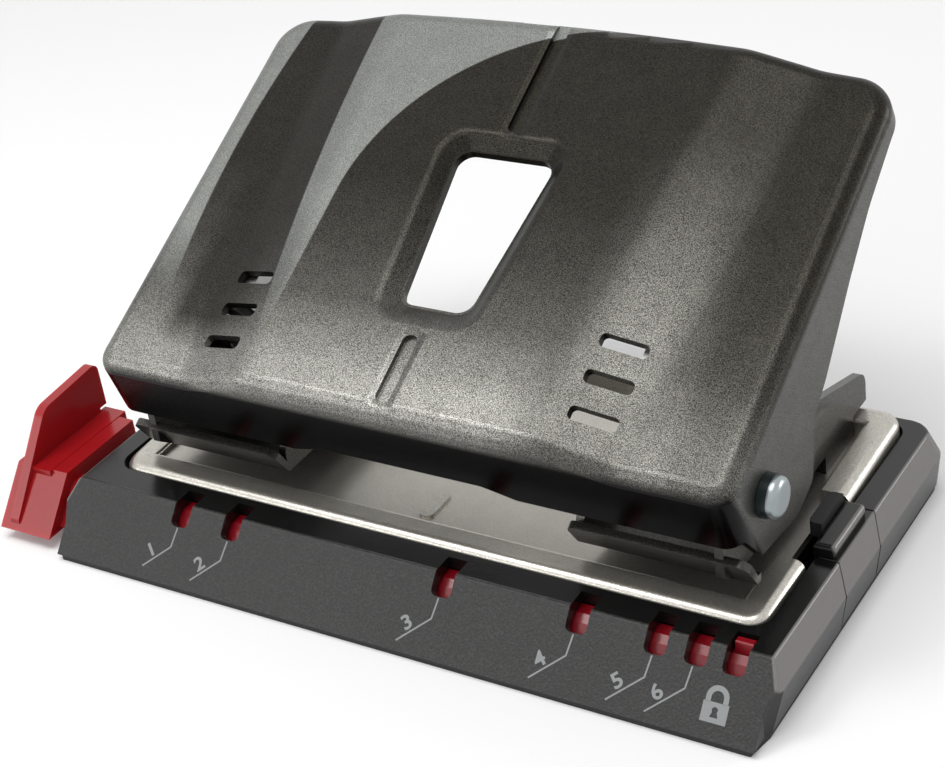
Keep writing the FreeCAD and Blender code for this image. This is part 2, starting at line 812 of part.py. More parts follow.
# lever, in its own frame: origin on the pivot axis, y along the plate, z square to it
plate_z = s.lever_rise
front_y = -s.lever_front
rear_y = s.lever_length - s.lever_front
crown_z = plate_z + s.crown_rise
flange_foot = plate_z - s.flange_drop - 1
lean = slope(s.lip_lean)


def front_face(z):
    # the lip's outer face leans forwards below the crown
    return front_y - lean * (crown_z - z)


lever = new_body("lever")
extrude(lever, "YZ_Plane", -s.lever_half, s.lever_half, [[
    (front_face(flange_foot), flange_foot),
    (rear_y, flange_foot),
    (rear_y, crown_z),
    (front_y, crown_z),
]])

# rear face bowed to the rear, in plan
bow_start = rear_y - s.lever_bow
bow_radius = (s.lever_half * s.lever_half + s.lever_bow * s.lever_bow) / (2 * s.lever_bow)
bow = new_sketch(lever, "XY_Plane", flange_foot - 1)
circle = Part.Circle(
    FreeCAD.Vector(0, rear_y.number - bow_radius.number, 0), FreeCAD.Vector(0, 0, 1),
    bow_radius.number)
half_turn = math.asin(s.lever_half.number / bow_radius.number)
rim = bow.addGeometry(
    Part.ArcOfCircle(circle, math.pi / 2 - half_turn, math.pi / 2 + half_turn), False)
far_y = rear_y + beyond
wide = s.lever_half + beyond
path = [(s.lever_half, bow_start), (wide, bow_start), (wide, far_y), (-wide, far_y),
        (-wide, bow_start), (-s.lever_half, bow_start)]
lines = []
for begin, end in zip(path, path[1:]):
    ends = [FreeCAD.Vector(as_size(p[0]).number, as_size(p[1]).number, 0) for p in (begin, end)]
    lines.append(bow.addGeometry(Part.LineSegment(*ends), False))
for one, two in zip(lines, lines[1:]):
    bow.addConstraint(Sketcher.Constraint("Coincident", one, 2, two, 1))
bow.addConstraint(Sketcher.Constraint("Coincident", rim, 1, lines[0], 1))
bow.addConstraint(Sketcher.Constraint("Coincident", rim, 2, lines[-1], 2))
for line, point in zip(lines, path):
    pin_point(bow, line, 1, *point)
pin_point(bow, lines[-1], 2, *path[-1])
index = bow.addConstraint(Sketcher.Constraint("Radius", rim, bow_radius.number))
bind(bow, "Constraints[%d]" % index, bow_radius)
cut = lever.newObject("PartDesign::Pocket", "LeverBow")
cut.Profile = bow
cut.Length = (crown_z - flange_foot + 2).number
bind(cut, "Length", crown_z - flange_foot + 2)
cut.Reversed = True
document.recompute()


# the plate falls away from its raised middle to the flat sides; the middle widens to the rear
widening = (s.crown_half_rear - s.crown_half_front) / s.lever_length
run_up = beyond
for side in (-1, 1):
    half = s.crown_half_front - widening * run_up
    outline = [
        (side * half, crown_z),
        (side * (half + s.ramp_run), plate_z),
        (side * wide, plate_z),
        (side * wide, crown_z + 1),
        (side * half, crown_z + 1),
    ]
    profile = new_sketch(lever, "XZ_Plane", run_up - front_y)
    add_loop(profile, outline[::side])
    fall = lever.newObject("PartDesign::Pocket", "LeverFall")
    fall.Profile = profile
    fall.Length = (s.lever_length + 2 * run_up).number
    bind(fall, "Length", s.lever_length + 2 * run_up)
    fall.UseCustomVector = True
    fall.Direction = FreeCAD.Vector(side * widening.number, 1, 0)
    bind(fall, "Direction.x", side * widening)
    fall.AlongSketchNormal = True
    document.recompute()



def runs(edge, axis):
    return abs(getattr(edge.tangentAt(edge.FirstParameter), axis)) > 0.95


def at_side(at):
    return near(abs(at.x), s.lever_half)


# soft creases and corners, the fold all round, then the block is hollowed to one sheet
round_edges(lever, s.lever_crease, lambda edge, at: (
    runs(edge, "y") and at.z > plate_z.number - 0.1 and not at_side(at)))
round_edges(lever, s.lever_corner, lambda edge, at: (
    runs(edge, "z") and at_side(at) and at.y > 0))
round_edges(lever, s.lever_corner_front, lambda edge, at: (
    runs(edge, "z") and at_side(at) and at.y < 0))
round_edges(lever, s.lever_shoulder, lambda edge, at: (
    at.z > plate_z.number - 0.1 and (
        abs(at.x) > s.lever_half.number - s.lever_corner.number
        or not front_y.number + 3 < at.y < bow_start.number - 3)))
tip = lever.Tip
foot_face = next(
    "Face%d" % number for number, face in enumerate(tip.Shape.Faces, start=1)
    if near(face.CenterOfMass.z, flange_foot))
shell = lever.newObject("PartDesign::Thickness", "LeverShell")
shell.Base = (tip, [foot_face])
shell.Value = s.sheet.number
bind(shell, "Value", s.sheet)
shell.Reversed = True
document.recompute()


def from_fold(y, drop):
    # a point of the flange's outline: behind the fold, below the plate's top
    return as_size(y) - s.lever_front, plate_z - drop


# flange outline: the lip's end, the toe, the heel behind the pivot and the skirt to the rear
lip_end = plate_z - s.lip_drop_end
lip_back = front_face(plate_z - s.lip_drop_middle) + s.sheet * 1.1
extrude(lever, "YZ_Plane", -s.lever_half - 1, s.lever_half + 1, [[
    (front_y - beyond, lip_end),
    (lip_back, lip_end),
    from_fold(0.7, 15.4) + (1.0,),
    from_fold(9.6, 21.4) + (5.0,),
    from_fold(15.2, s.flange_drop) + (2.0,),
    from_fold(17.4, 19.0) + (1.5,),
    from_fold(20.1, 14.9) + (3.0,),
    from_fold(25.4, 13.7) + (3.0,),
    from_fold(37.7, 9.1) + (8.0,),
    from_fold(47.0, 6.2) + (20.0,),
    from_fold(57.6, s.lever_skirt) + (20.0,),
    (rear_y + beyond, plate_z - s.lever_skirt),
    (rear_y + beyond, flange_foot - beyond),
    (front_y - beyond, flange_foot - beyond),
]], cut=True)
extrude(lever, "XZ_Plane", front_y - beyond, lip_back, [[
    (-wide, flange_foot - beyond),
    (wide, flange_foot - beyond),
    (wide, lip_end),
    (s.lever_half - 8, plate_z - s.lip_drop_side, 12.0),
    (20.5, plate_z - s.lip_drop_side, 6.0),
    (12.5, plate_z - s.lip_drop_middle, 6.0),
    (-12.5, plate_z - s.lip_drop_middle, 6.0),
    (-20.5, plate_z - s.lip_drop_side, 6.0),
    (-s.lever_half + 8, plate_z - s.lip_drop_side, 12.0),
    (-wide, lip_end),
]], cut=True)
extrude(lever, "YZ_Plane", -s.lever_half - 1, s.lever_half + 1, circles=[
    (0.0, 0.0, s.pin_radius + s.pin_fit)], cut=True)

# hand opening with its pressed border
border_front = s.hand_front - s.hand_border_ahead - s.lever_front
border_rear = s.hand_rear + s.hand_border - s.lever_front
hand_front_y = s.hand_front - s.lever_front
hand_rear_y = s.hand_rear - s.lever_front
border_bottom = crown_z - s.hand_sink - s.sheet


def hand_loop(front, rear, front_half, rear_half, corner):
    return [
        (-front_half, front, corner),
        (front_half, front, corner),
        (rear_half, rear, corner),
        (-rear_half, rear, corner),
    ]


def dish(cut, low, low_grow, high, high_grow):
    # the border's sloping form between two levels, grown outwards from the opening
    before = volume(lever)
    rings = []
    for level, grow in ((low, low_grow), (high, high_grow)):
        ring = new_sketch(lever, "XY_Plane", level)
        add_loop(ring, hand_loop(
            hand_front_y - grow * (s.hand_border_ahead / s.hand_border),
            hand_rear_y + grow,
            s.hand_half_front + grow, s.hand_half_rear + grow, s.hand_corner + grow * 0.6))
        rings.append(ring)
    kind = "PartDesign::SubtractiveLoft" if cut else "PartDesign::AdditiveLoft"
    form = lever.newObject(kind, "LeverDish")
    form.Profile = rings[0]
    form.Sections = [rings[1]]
    form.Ruled = True
    document.recompute()
    if volume(lever) == before:
        raise ValueError("the lever's border changed nothing")


dish(False, border_bottom, s.sheet, crown_z - s.sheet / 2, s.hand_border + s.sheet)
dish(True, crown_z - s.hand_sink, as_size(0.3), crown_z + 0.01, s.hand_border)
extrude(lever, "XY_Plane", border_bottom - 1, crown_z + 1, [hand_loop(
    hand_front_y, hand_rear_y, s.hand_half_front, s.hand_half_rear, s.hand_corner)], cut=True)

round_edges(lever, s.hand_soft, lambda edge, at: (
    at.z > crown_z.number - 0.1 and abs(at.x) < s.hand_half_rear.number + s.hand_border.number + 1
    and border_front.number - 1 < at.y < border_rear.number + 1))

# pressed grooves on the centre line
for start, stop in ((s.groove_front_start, s.groove_front_end),
                    (s.groove_rear_start, s.lever_length + 1)):
    low, high = start - s.lever_front, stop - s.lever_front
    extrude(lever, "XY_Plane", crown_z - s.groove_depth, crown_z + 1, [[
        (-s.groove_half, low, s.groove_end),
        (s.groove_half, low, s.groove_end),
        (s.groove_half, high, s.groove_end),
        (-s.groove_half, high, s.groove_end),
    ]], cut=True)

# three slots through each ramp of the crown
slot_loops = []
for side in (-1, 1):
    for step in range(3):
        slot_y = s.slot_first + step * s.slot_pitch - s.lever_front
        half = s.slot_length / 2
        slot_loops.append([
            (side * s.slot_side - half, slot_y - s.slot_width / 2, s.slot_width * 0.35),
            (side * s.slot_side + half, slot_y - s.slot_width / 2, s.slot_width * 0.35),
            (side * s.slot_side + half, slot_y + s.slot_width / 2, s.slot_width * 0.35),
            (side * s.slot_side - half, slot_y + s.slot_width / 2, s.slot_width * 0.35),
        ])
extrude(lever, "XY_Plane", plate_z - s.sheet - 1, crown_z + 1, slot_loops, cut=True)
place(lever, 0.0, s.pivot_y, s.pivot_z, s.lever_tilt)
document.recompute()

# press units: a bracket under each side of the lever carries a pin over its punch
def on_lever(body):
    place(body, 0.0, s.pivot_y, s.pivot_z, s.lever_tilt)


saddle_top = plate_z - s.sheet
saddle_low = saddle_top - s.sheet
press_z = -s.press_drop
saddle_front = s.press_ahead - s.saddle_depth / 2
saddle_rear = s.press_ahead + s.saddle_depth / 2
for side, hand in ((-1, "left"), (1, "right")):
    saddle = new_body("press_bracket_" + hand)
    low, high = span(side, s.saddle_inner, s.saddle_outer)
    extrude(saddle, "YZ_Plane", low, high, [[
        (saddle_front, saddle_low),
        (saddle_rear, saddle_low),
        (saddle_rear, saddle_top),
        (saddle_front, saddle_top),
    ]])
    for inner in (s.saddle_inner, s.tab_outer - s.sheet):
        low, high = span(side, inner, inner + s.sheet)
        extrude(saddle, "YZ_Plane", low, high, [[
            (saddle_front, saddle_low + s.sheet / 2),
            (s.press_ahead - s.tab_round, press_z - s.tab_round, s.tab_round * 0.98),
            (s.press_ahead + s.tab_round, press_z - s.tab_round, s.tab_round * 0.98),
            (saddle_rear, saddle_low + s.sheet / 2),
        ]])
    low, high = span(side, s.saddle_inner - 1, s.tab_outer + 1)
    extrude(saddle, "YZ_Plane", low, high, circles=[
        (s.press_ahead, press_z, s.press_radius + s.press_fit)], cut=True)
    on_lever(saddle)
    press_pin = new_body("press_pin_" + hand)
    low, high = span(side, s.saddle_inner - 0.8, s.press_outer)
    extrude(press_pin, "YZ_Plane", low, high, circles=[
        (s.press_ahead, press_z, s.press_radius)])
    on_lever(press_pin)

# pivots: a shouldered pin through cheek, spacer, flange and washer on each side
gap = s.pin_fit
spacer_inner = s.bracket_outer + gap
spacer_outer = s.lever_half - s.sheet - gap
washer_inner = s.lever_half + gap
head_inner = washer_inner + s.washer_thick
for side, hand in ((-1, "left"), (1, "right")):
    spacer = new_body("pivot_spacer_" + hand)
    low, high = span(side, spacer_inner, spacer_outer)
    extrude(spacer, "YZ_Plane", low, high, circles=[
        (s.pivot_y, s.pivot_z, s.spacer_radius),
        (s.pivot_y, s.pivot_z, s.pin_radius + s.pin_fit)])
    washer = new_body("pivot_washer_" + hand)
    low, high = span(side, washer_inner, head_inner - gap)
    extrude(washer, "YZ_Plane", low, high, circles=[
        (s.pivot_y, s.pivot_z, s.washer_radius),
        (s.pivot_y, s.pivot_z, s.pin_radius + s.pin_fit)])
    pin = new_body("pivot_pin_" + hand)
    cheek = s.bracket_outer - s.sheet
    revolve(pin, "XY_Plane", [
        (side * (cheek - s.pin_tail - gap), 0.0),
        (side * (cheek - s.pin_tail - gap), s.pin_tail_radius - 0.3),
        (side * (cheek - s.pin_tail + 0.3 - gap), s.pin_tail_radius),
        (side * (cheek - gap), s.pin_tail_radius),
        (side * (cheek - gap), s.pin_radius),
        (side * head_inner, s.pin_radius),
        (side * head_inner, s.pin_head_radius),
        (side * (head_inner + s.pin_head), s.pin_head_radius),
        (side * (head_inner + s.pin_head), 0.0),
    ], "H_Axis")
    head_end = side * (head_inner + s.pin_head)
    round_edges(pin, s.pin_head * 0.85, lambda edge, at: near(at.x, head_end))
    place(pin, 0.0, s.pivot_y, s.pivot_z)

# paper guide: a stop at the left-hand end on a long bar that slides in the casing's channel
run = s.slide_gap * Size(
    math.hypot(1, front_slope.number),
    "sqrt(1 + %s * %s)" % (front_slope.text, front_slope.text))


def bar_front(z):
    # the bar's sloping front face, inside the casing's front wall
    return face_y(z) + wall_run + run


bar_back = channel_back - s.slide_gap
chamfer = s.guide_bar_chamfer
paper_guide = new_body("paper_guide")
extrude(paper_guide, "YZ_Plane", -s.guide_stop - s.guide_wall, s.guide_bar_end, [[
    (bar_front(s.guide_bar_foot), s.guide_bar_foot),
    (bar_back, s.guide_bar_foot),
    (bar_back, bar_top),
    (bar_front(bar_top) + chamfer, bar_top),
    (bar_front(bar_top - chamfer), bar_top - chamfer),
]])
extrude(paper_guide, "YZ_Plane", -s.guide_block_outer, -s.casing_half_ridge - s.slide_gap - 0.8, [[
    (face_y(s.guide_block_foot) + 0.4, s.guide_block_foot),
    (-s.guide_rear - 1.5, s.guide_block_foot),
    (-s.guide_rear - 1.5, s.guide_block_top),
    (face_y(s.guide_block_top) + 0.4, s.guide_block_top),
]])
extrude(paper_guide, "YZ_Plane", -s.guide_stop - s.guide_wall, -s.guide_stop, [[
    (face_y(s.guide_block_foot), s.guide_block_foot, 1.0),
    (-s.guide_rear - 1.5, s.guide_block_foot),
    (-s.guide_rear - 1.5, s.guide_wall_foot),
    (-s.guide_rear, s.guide_wall_foot),
    (-s.guide_rear, s.guide_top_rear, 1.2),
    (-s.guide_front, s.guide_top_front, 3.0),
]])
extrude(paper_guide, "XY_Plane", s.guide_shelf_foot, s.guide_shelf_top, [
    box_loop(-s.guide_stop - 0.5, -s.guide_stop + s.guide_shelf, -s.casing_front_top - 0.4,
             -s.guide_rear)])
notches = []
for step in range(4):
    notch_y = -s.casing_front_top + 2.4 + step * 3.8
    notches.append(box_loop(-s.guide_stop + s.guide_shelf - 1.4, -s.guide_stop + s.guide_shelf + 1,
                            notch_y, notch_y + 1.9))
extrude(paper_guide, "XY_Plane", s.guide_shelf_foot - 0.5,
        s.guide_shelf_foot + 0.8, notches, cut=True)

detent = new_body("guide_detent")
low = s.format_home - s.detent_width / 2
extrude(detent, "YZ_Plane", low, low + s.detent_width, [[
    (bar_front(bar_top) + chamfer, bar_top),
    (bar_back - 0.2, bar_top),
    (bar_back - 0.4, bar_top + s.detent_rise, 0.3),
    (bar_front(bar_top) + chamfer + 0.3, bar_top + s.detent_rise, 0.3),
]])

# lever lock: a slider that fills the recess in the casing's right-hand end
lock = new_body("lock_slider")
play = s.slide_gap
lock_inner = s.well_half + play
extrude(lock, "YZ_Plane", lock_inner, s.casing_half_ridge, [[
    (-s.lock_front_foot + play, s.casing_foot + s.seat_gap),
    (s.lock_rear_ridge - play, s.casing_foot + s.seat_gap),
    (s.lock_rear_ridge - play, s.casing_ridge),
    (s.lock_rear_top - play, s.casing_top),
    (-s.lock_front_top + play, s.casing_top),
    (-s.lock_front_ridge + play, s.casing_ridge),
]])
extrude(lock, "XZ_Plane", -s.lock_front_foot - 2, s.lock_rear_top + 2, [[
    (s.casing_half_foot, s.casing_foot - beyond),
    (s.casing_half_foot, s.casing_foot),
    (s.casing_half_ridge, s.casing_ridge),
    (s.casing_half_top, s.casing_top),
    (s.casing_half_top, s.casing_top + beyond),
    (s.casing_half_ridge + beyond, s.casing_top + beyond),
    (s.casing_half_ridge + beyond, s.casing_foot - beyond),
]], cut=True)
thumb_front = -s.lock_front_top + play
extrude(lock, "XY_Plane", s.casing_top - 0.3, s.casing_top + s.lock_thumb_rise, [
    box_loop(s.lock_thumb_inner, s.lock_thumb_outer, thumb_front, s.lock_rear_ridge + 1.0)])
round_edges(lock, 0.6, lambda edge, at: (
    near(at.z, s.casing_top + s.lock_thumb_rise) or (
        at.z > s.casing_top.number + 0.5
        and abs(edge.tangentAt(edge.FirstParameter).z) > 0.9
        and near(at.x, s.lock_thumb_outer))))
tongue = new_body("lock_tongue")
extrude(tongue, "XY_Plane", s.tongue_foot, s.tongue_top, [[
    (s.tongue_inner, -s.tongue_front, 0.8),
    (s.lock_thumb_inner, -s.tongue_front),
    (s.lock_thumb_inner, s.tongue_rear),
    (s.tongue_inner, s.tongue_rear, 0.8),
]])

# chip tray: closes the casing below and catches the punched chips
tray_half = s.casing_half_foot - s.tray_inset
tray_front = -s.casing_front_foot + s.tray_inset
tray_rear = s.casing_rear_foot - s.tray_inset
tray = new_body("chip_tray")
extrude(tray, "XY_Plane", 0.0, s.tray_thick - s.press_fit, [[
    (-tray_half, tray_front + s.casing_chamfer_end - 0.6),
    (-tray_half + 0.8, tray_front),
    (tray_half - 0.8, tray_front),
    (tray_half, tray_front + s.casing_chamfer_end - 0.6),
    (tray_half, tray_rear, s.casing_corner),
    (-tray_half, tray_rear, s.casing_corner),
]])
wall_left = -cavity_half + s.slide_gap
wall_right = s.well_half - s.lock_travel - 1.0
wall_front = -s.well_front + s.slide_gap
wall_rear = cavity_rear - s.casing_wall - s.slide_gap
wall_top = cavity_top - s.screw_head - s.slide_gap
inside_round = s.well_corner
extrude(tray, "XY_Plane", s.tray_thick / 2, wall_top, [
    [
        (wall_left, wall_front),
        (wall_right, wall_front),
        (wall_right, wall_rear),
        (wall_left, wall_rear, inside_round),
    ],
    [
        (wall_left + s.tray_wall, wall_front + s.tray_wall),
        (wall_right - s.tray_wall, wall_front + s.tray_wall),
        (wall_right - s.tray_wall, wall_rear - s.tray_wall),
        (wall_left + s.tray_wall, wall_rear - s.tray_wall, inside_round - s.tray_wall),
    ],
])
rails = []
for x in (-45.0, -15.0, 15.0, 45.0):
    rails.append(box_loop(x - 1.0, x + 1.0, bar_front(s.guide_bar_foot) + 0.5, bar_back - 0.5))
extrude(tray, "XY_Plane", s.tray_thick / 2, s.guide_bar_foot - s.seat_gap, rails)

document.recompute()
for item in document.Objects:
    if any(state in ("Invalid", "Error") for state in item.State):
        raise ValueError("%s failed: %s" % (item.Label, item.State))
triangles = 0
for body in nodes:
    shape = body.Shape
    if shape.isNull() or not shape.isValid():
        raise ValueError("%s has no valid shape" % body.Label)
    if len(shape.Solids) != 1:
        raise ValueError("%s is %d solids" % (body.Label, len(shape.Solids)))
    facets = len(shape.copy().tessellate(0.1)[1])
    triangles += facets
    print("%-18s %5d facets %10.1f mm3" % (body.Label, facets, shape.Volume))
print("pieces", len(nodes), "facets", triangles)
for body in nodes:
    body.Shape.exportStep("parts/%s.step" % body.Label)
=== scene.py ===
import math

import bmesh
import bpy
from mathutils import Matrix, Vector


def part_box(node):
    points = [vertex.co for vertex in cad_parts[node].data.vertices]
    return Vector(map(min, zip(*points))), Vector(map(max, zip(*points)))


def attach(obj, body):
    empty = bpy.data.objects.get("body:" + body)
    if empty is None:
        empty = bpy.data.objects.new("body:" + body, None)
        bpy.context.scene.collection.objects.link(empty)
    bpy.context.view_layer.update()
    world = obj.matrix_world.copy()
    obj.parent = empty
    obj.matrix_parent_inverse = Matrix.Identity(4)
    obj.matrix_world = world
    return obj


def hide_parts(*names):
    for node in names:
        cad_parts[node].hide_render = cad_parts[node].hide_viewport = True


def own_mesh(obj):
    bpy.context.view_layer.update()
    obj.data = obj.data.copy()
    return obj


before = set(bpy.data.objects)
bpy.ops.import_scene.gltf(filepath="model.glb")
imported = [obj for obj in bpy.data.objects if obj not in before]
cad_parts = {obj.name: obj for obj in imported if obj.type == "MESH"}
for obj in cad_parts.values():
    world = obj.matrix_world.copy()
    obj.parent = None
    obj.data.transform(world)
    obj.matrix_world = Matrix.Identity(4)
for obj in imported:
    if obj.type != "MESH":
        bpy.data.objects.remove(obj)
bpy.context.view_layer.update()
scene = bpy.context.scene
scene.view_settings.view_transform = "Standard"
millimetres = 1000.0    # in a metre
print("frame loaded, %d nodes" % len(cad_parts))


def newMaterial(name):
    material = bpy.data.materials.new(name)
    material.use_nodes = True
    tree = material.node_tree
    tree.nodes.clear()
    output = tree.nodes.new("ShaderNodeOutputMaterial")
    shader = tree.nodes.new("ShaderNodeBsdfPrincipled")
    tree.links.new(shader.outputs["BSDF"], output.inputs["Surface"])
    return material, tree, shader


def addNode(tree, kind, values=None, **settings):
    node = tree.nodes.new(kind)
    for key, value in settings.items():
        setattr(node, key, value)
    for key, value in (values or {}).items():
        node.inputs[key].default_value = value
    return node


def mathNode(tree, operation, first, second=None, third=None, clamp=False):
    node = addNode(tree, "ShaderNodeMath", operation=operation, use_clamp=clamp)
    for slot, value in enumerate((first, second, third)):
        if value is None:
            continue
        if isinstance(value, (int, float)):
            node.inputs[slot].default_value = value
        else:
            tree.links.new(value, node.inputs[slot])
    return node.outputs[0]


def mixColours(tree, factor, first, second):
    node = addNode(tree, "ShaderNodeMix", data_type="RGBA")
    for slot, value in ((0, factor), (6, first), (7, second)):
        if isinstance(value, (int, float, tuple)):
            node.inputs[slot].default_value = value
        else:
            tree.links.new(value, node.inputs[slot])
    return node.outputs[2]


def product(tree, first, *others):
    for other in others:
        first = mathNode(tree, "MULTIPLY", first, other)
    return first


def softRange(tree, value, start, end, **settings):
    # 0 up to start, 1 from end
    node = addNode(tree, "ShaderNodeMapRange", {"From Min": start, "From Max": end}, **settings)
    tree.links.new(value, node.inputs["Value"])
    return node.outputs[0]


def sharpStep(tree, value, edge, width):
    # 0 before the edge and 1 past it, within width to both sides; a negative width swaps them
    return softRange(tree, value, edge - width, edge + width)


def objectPlace(tree):
    return tree.nodes.new("ShaderNodeTexCoord").outputs["Object"]


def objectAxes(tree):
    # the place in the object's coordinates, and its X, Y and Z
    place = objectPlace(tree)
    split = tree.nodes.new("ShaderNodeSeparateXYZ")
    tree.links.new(place, split.inputs["Vector"])
    return place, split.outputs


def groupSocket(tree, name, side, kind):
    tree.interface.new_socket(name=name, in_out=side, socket_type=kind)


def placeGroup(tree, group, values):
    node = tree.nodes.new("ShaderNodeGroup")
    node.node_tree = group
    for key, value in values.items():
        if isinstance(value, (int, float)):
            node.inputs[key].default_value = value
        else:
            tree.links.new(value, node.inputs[key])
    return node


def linear(red, green, blue):
    # screen values 0..255 to the linear values that sockets take
    values = []
    for part in (red, green, blue):
        part = part / 255
        values.append(part / 12.92 if part <= 0.04045 else ((part + 0.055) / 1.055) ** 2.4)
    return (values[0], values[1], values[2], 1.0)


# camera: a long lens, from the front right and above
cameraSpot = {
    "place": (0.13931, -0.19662, 0.16655),
    "right": (0.8504, 0.5109, -0.1254),
    "ahead": (-0.4965, 0.7006, -0.5125),
    "lens": 78.07,
    "sensor": 36.0,
    "clip": (0.01, 20.0),
}


def makeCamera():
    data = bpy.data.cameras.new("camera")
    data.lens = cameraSpot["lens"]
    data.sensor_width = cameraSpot["sensor"]
    data.clip_start, data.clip_end = cameraSpot["clip"]
    camera = bpy.data.objects.new("camera", data)
    scene.collection.objects.link(camera)
    right = Vector(cameraSpot["right"]).normalized()
    back = -Vector(cameraSpot["ahead"]).normalized()
    upward = back.cross(right).normalized()
    turn = Matrix((right, upward, back)).transposed().to_4x4()
    camera.matrix_world = Matrix.Translation(cameraSpot["place"]) @ turn
    scene.camera = camera


makeCamera()
print("camera placed")

# studio: a large soft box overhead, a small one at the front left, weak ones far off, a pale room
studio = {
    "room": 0.45,
    "lamps": {
        "overhead": {"place": (0.02, -0.10, 0.75), "aim": (0.0, 0.0, 0.02),
                     "size": 0.45, "power": 2.3},
        "frontGlow": {"place": (-0.155, -0.12, 0.34), "aim": (0.0, -0.02, 0.03),
                      "size": 0.12, "power": 0.36},
        "leftFill": {"place": (-0.55, -0.75, 0.35), "aim": (0.0, -0.02, 0.01),
                     "size": 0.5, "power": 1.6},
        "rearStrip": {"place": (0.63, 0.56, 0.16), "aim": (0.055, 0.0, 0.008),
                      "size": 0.3, "power": 1.6},
    },
    "floorColour": (0.88, 0.88, 0.88, 1.0),
    "floorRoughness": 0.9,
    "floorSpecular": 0.1,
    # what the floor adds for the camera alone, near the object and far from it
    "floorGlow": (0.1, 0.6),
    "floorFade": (0.25, 1.4),
    "floorSize": 6.0,
    "floorDrop": 0.00002,
}


def makeLamp(name, lamp):
    data = bpy.data.lights.new(name, "AREA")
    data.shape = "SQUARE"
    data.size = lamp["size"]
    data.energy = lamp["power"]
    light = bpy.data.objects.new(name, data)
    light.visible_camera = False
    scene.collection.objects.link(light)
    aim = Vector(lamp["aim"]) - Vector(lamp["place"])
    turn = aim.to_track_quat("-Z", "Y").to_matrix().to_4x4()
    light.matrix_world = Matrix.Translation(lamp["place"]) @ turn


def makeRoom():
    # white to the camera and to reflections, dimmer as light on the object
    world = bpy.data.worlds.new("room")
    scene.world = world
    world.use_nodes = True
    tree = world.node_tree
    tree.nodes.clear()
    output = tree.nodes.new("ShaderNodeOutputWorld")
    paths = tree.nodes.new("ShaderNodeLightPath")
    seen = mathNode(tree, "MAXIMUM", paths.outputs["Is Camera Ray"],
                    paths.outputs["Is Transmission Ray"])
    seen = mathNode(tree, "MAXIMUM", seen, paths.outputs["Is Glossy Ray"])
    strength = mathNode(tree, "MULTIPLY_ADD", seen, 1.0 - studio["room"], studio["room"])
    back = addNode(tree, "ShaderNodeBackground", {"Color": (1, 1, 1, 1)})
    tree.links.new(strength, back.inputs["Strength"])
    tree.links.new(back.outputs[0], output.inputs["Surface"])


def makeFloor():
    mesh = bpy.data.meshes.new("floor")
    bm = bmesh.new()
    bmesh.ops.create_grid(bm, x_segments=1, y_segments=1, size=studio["floorSize"] / 2)
    bmesh.ops.translate(bm, verts=bm.verts, vec=(0, 0, -studio["floorDrop"]))
    bm.to_mesh(mesh)
    bm.free()
    floor = bpy.data.objects.new("floor", mesh)
    scene.collection.objects.link(floor)
    material, tree, shader = newMaterial("paleFloor")
    shader.inputs["Base Color"].default_value = studio["floorColour"]
    shader.inputs["Roughness"].default_value = studio["floorRoughness"]
    shader.inputs["Specular IOR Level"].default_value = studio["floorSpecular"]
    shader.inputs["Emission Color"].default_value = (1, 1, 1, 1)
    paths = tree.nodes.new("ShaderNodeLightPath")
    length = addNode(tree, "ShaderNodeVectorMath", operation="LENGTH")
    tree.links.new(objectPlace(tree), length.inputs[0])
    near, far = studio["floorFade"]
    low, high = studio["floorGlow"]
    away = addNode(tree, "ShaderNodeMapRange",
                   {"From Min": near, "From Max": far, "To Min": low, "To Max": high},
                   interpolation_type="SMOOTHSTEP")
    tree.links.new(length.outputs["Value"], away.inputs["Value"])
    glow = mathNode(tree, "MULTIPLY", paths.outputs["Is Camera Ray"], away.outputs[0])
    tree.links.new(glow, shader.inputs["Emission Strength"])
    mesh.materials.append(material)


for name, lamp in studio["lamps"].items():
    makeLamp(name, lamp)
makeRoom()
makeFloor()
print("studio set")

# grain of the finishes; the scale of a grain is the count of grains in a metre
grainLook = {
    "fleckDetail": 2.0,
    "fleckRoughness": 0.75,
    "fleckRange": (0.42, 0.61),     # noise values of a dark grain and of a bright one
    "cloudDetail": 1.0,
    "cloudScale": 0.04,             # clouds among the flecks: their scale beside the flecks'
    "cloudShare": 0.25,
    "rubScale": 45.0,
    "rubDetail": 3.0,
}


# metallic flecks in paint, bright and dark
def fleckGroup():
    group = bpy.data.node_groups.new("metalFleck", "ShaderNodeTree")
    groupSocket(group, "Vector", "INPUT", "NodeSocketVector")
    groupSocket(group, "Scale", "INPUT", "NodeSocketFloat")
    groupSocket(group, "Shade", "OUTPUT", "NodeSocketFloat")
    groupSocket(group, "Height", "OUTPUT", "NodeSocketFloat")
    ins = group.nodes.new("NodeGroupInput")
    outs = group.nodes.new("NodeGroupOutput")
    grain = addNode(group, "ShaderNodeTexNoise", {"Detail": grainLook["fleckDetail"],
                                                  "Roughness": grainLook["fleckRoughness"]})
    group.links.new(ins.outputs["Vector"], grain.inputs["Vector"])
    group.links.new(ins.outputs["Scale"], grain.inputs["Scale"])
    spread = softRange(group, grain.outputs["Fac"], *grainLook["fleckRange"])
    clouds = addNode(group, "ShaderNodeTexNoise", {"Detail": grainLook["cloudDetail"]})
    group.links.new(ins.outputs["Vector"], clouds.inputs["Vector"])
    wide = mathNode(group, "MULTIPLY", ins.outputs["Scale"], grainLook["cloudScale"])
    group.links.new(wide, clouds.inputs["Scale"])
    share = grainLook["cloudShare"]
    uneven = mathNode(group, "MULTIPLY_ADD", clouds.outputs["Fac"], share, -share / 2)
    group.links.new(mathNode(group, "ADD", spread, uneven), outs.inputs["Shade"])
    group.links.new(grain.outputs["Fac"], outs.inputs["Height"])
    return group


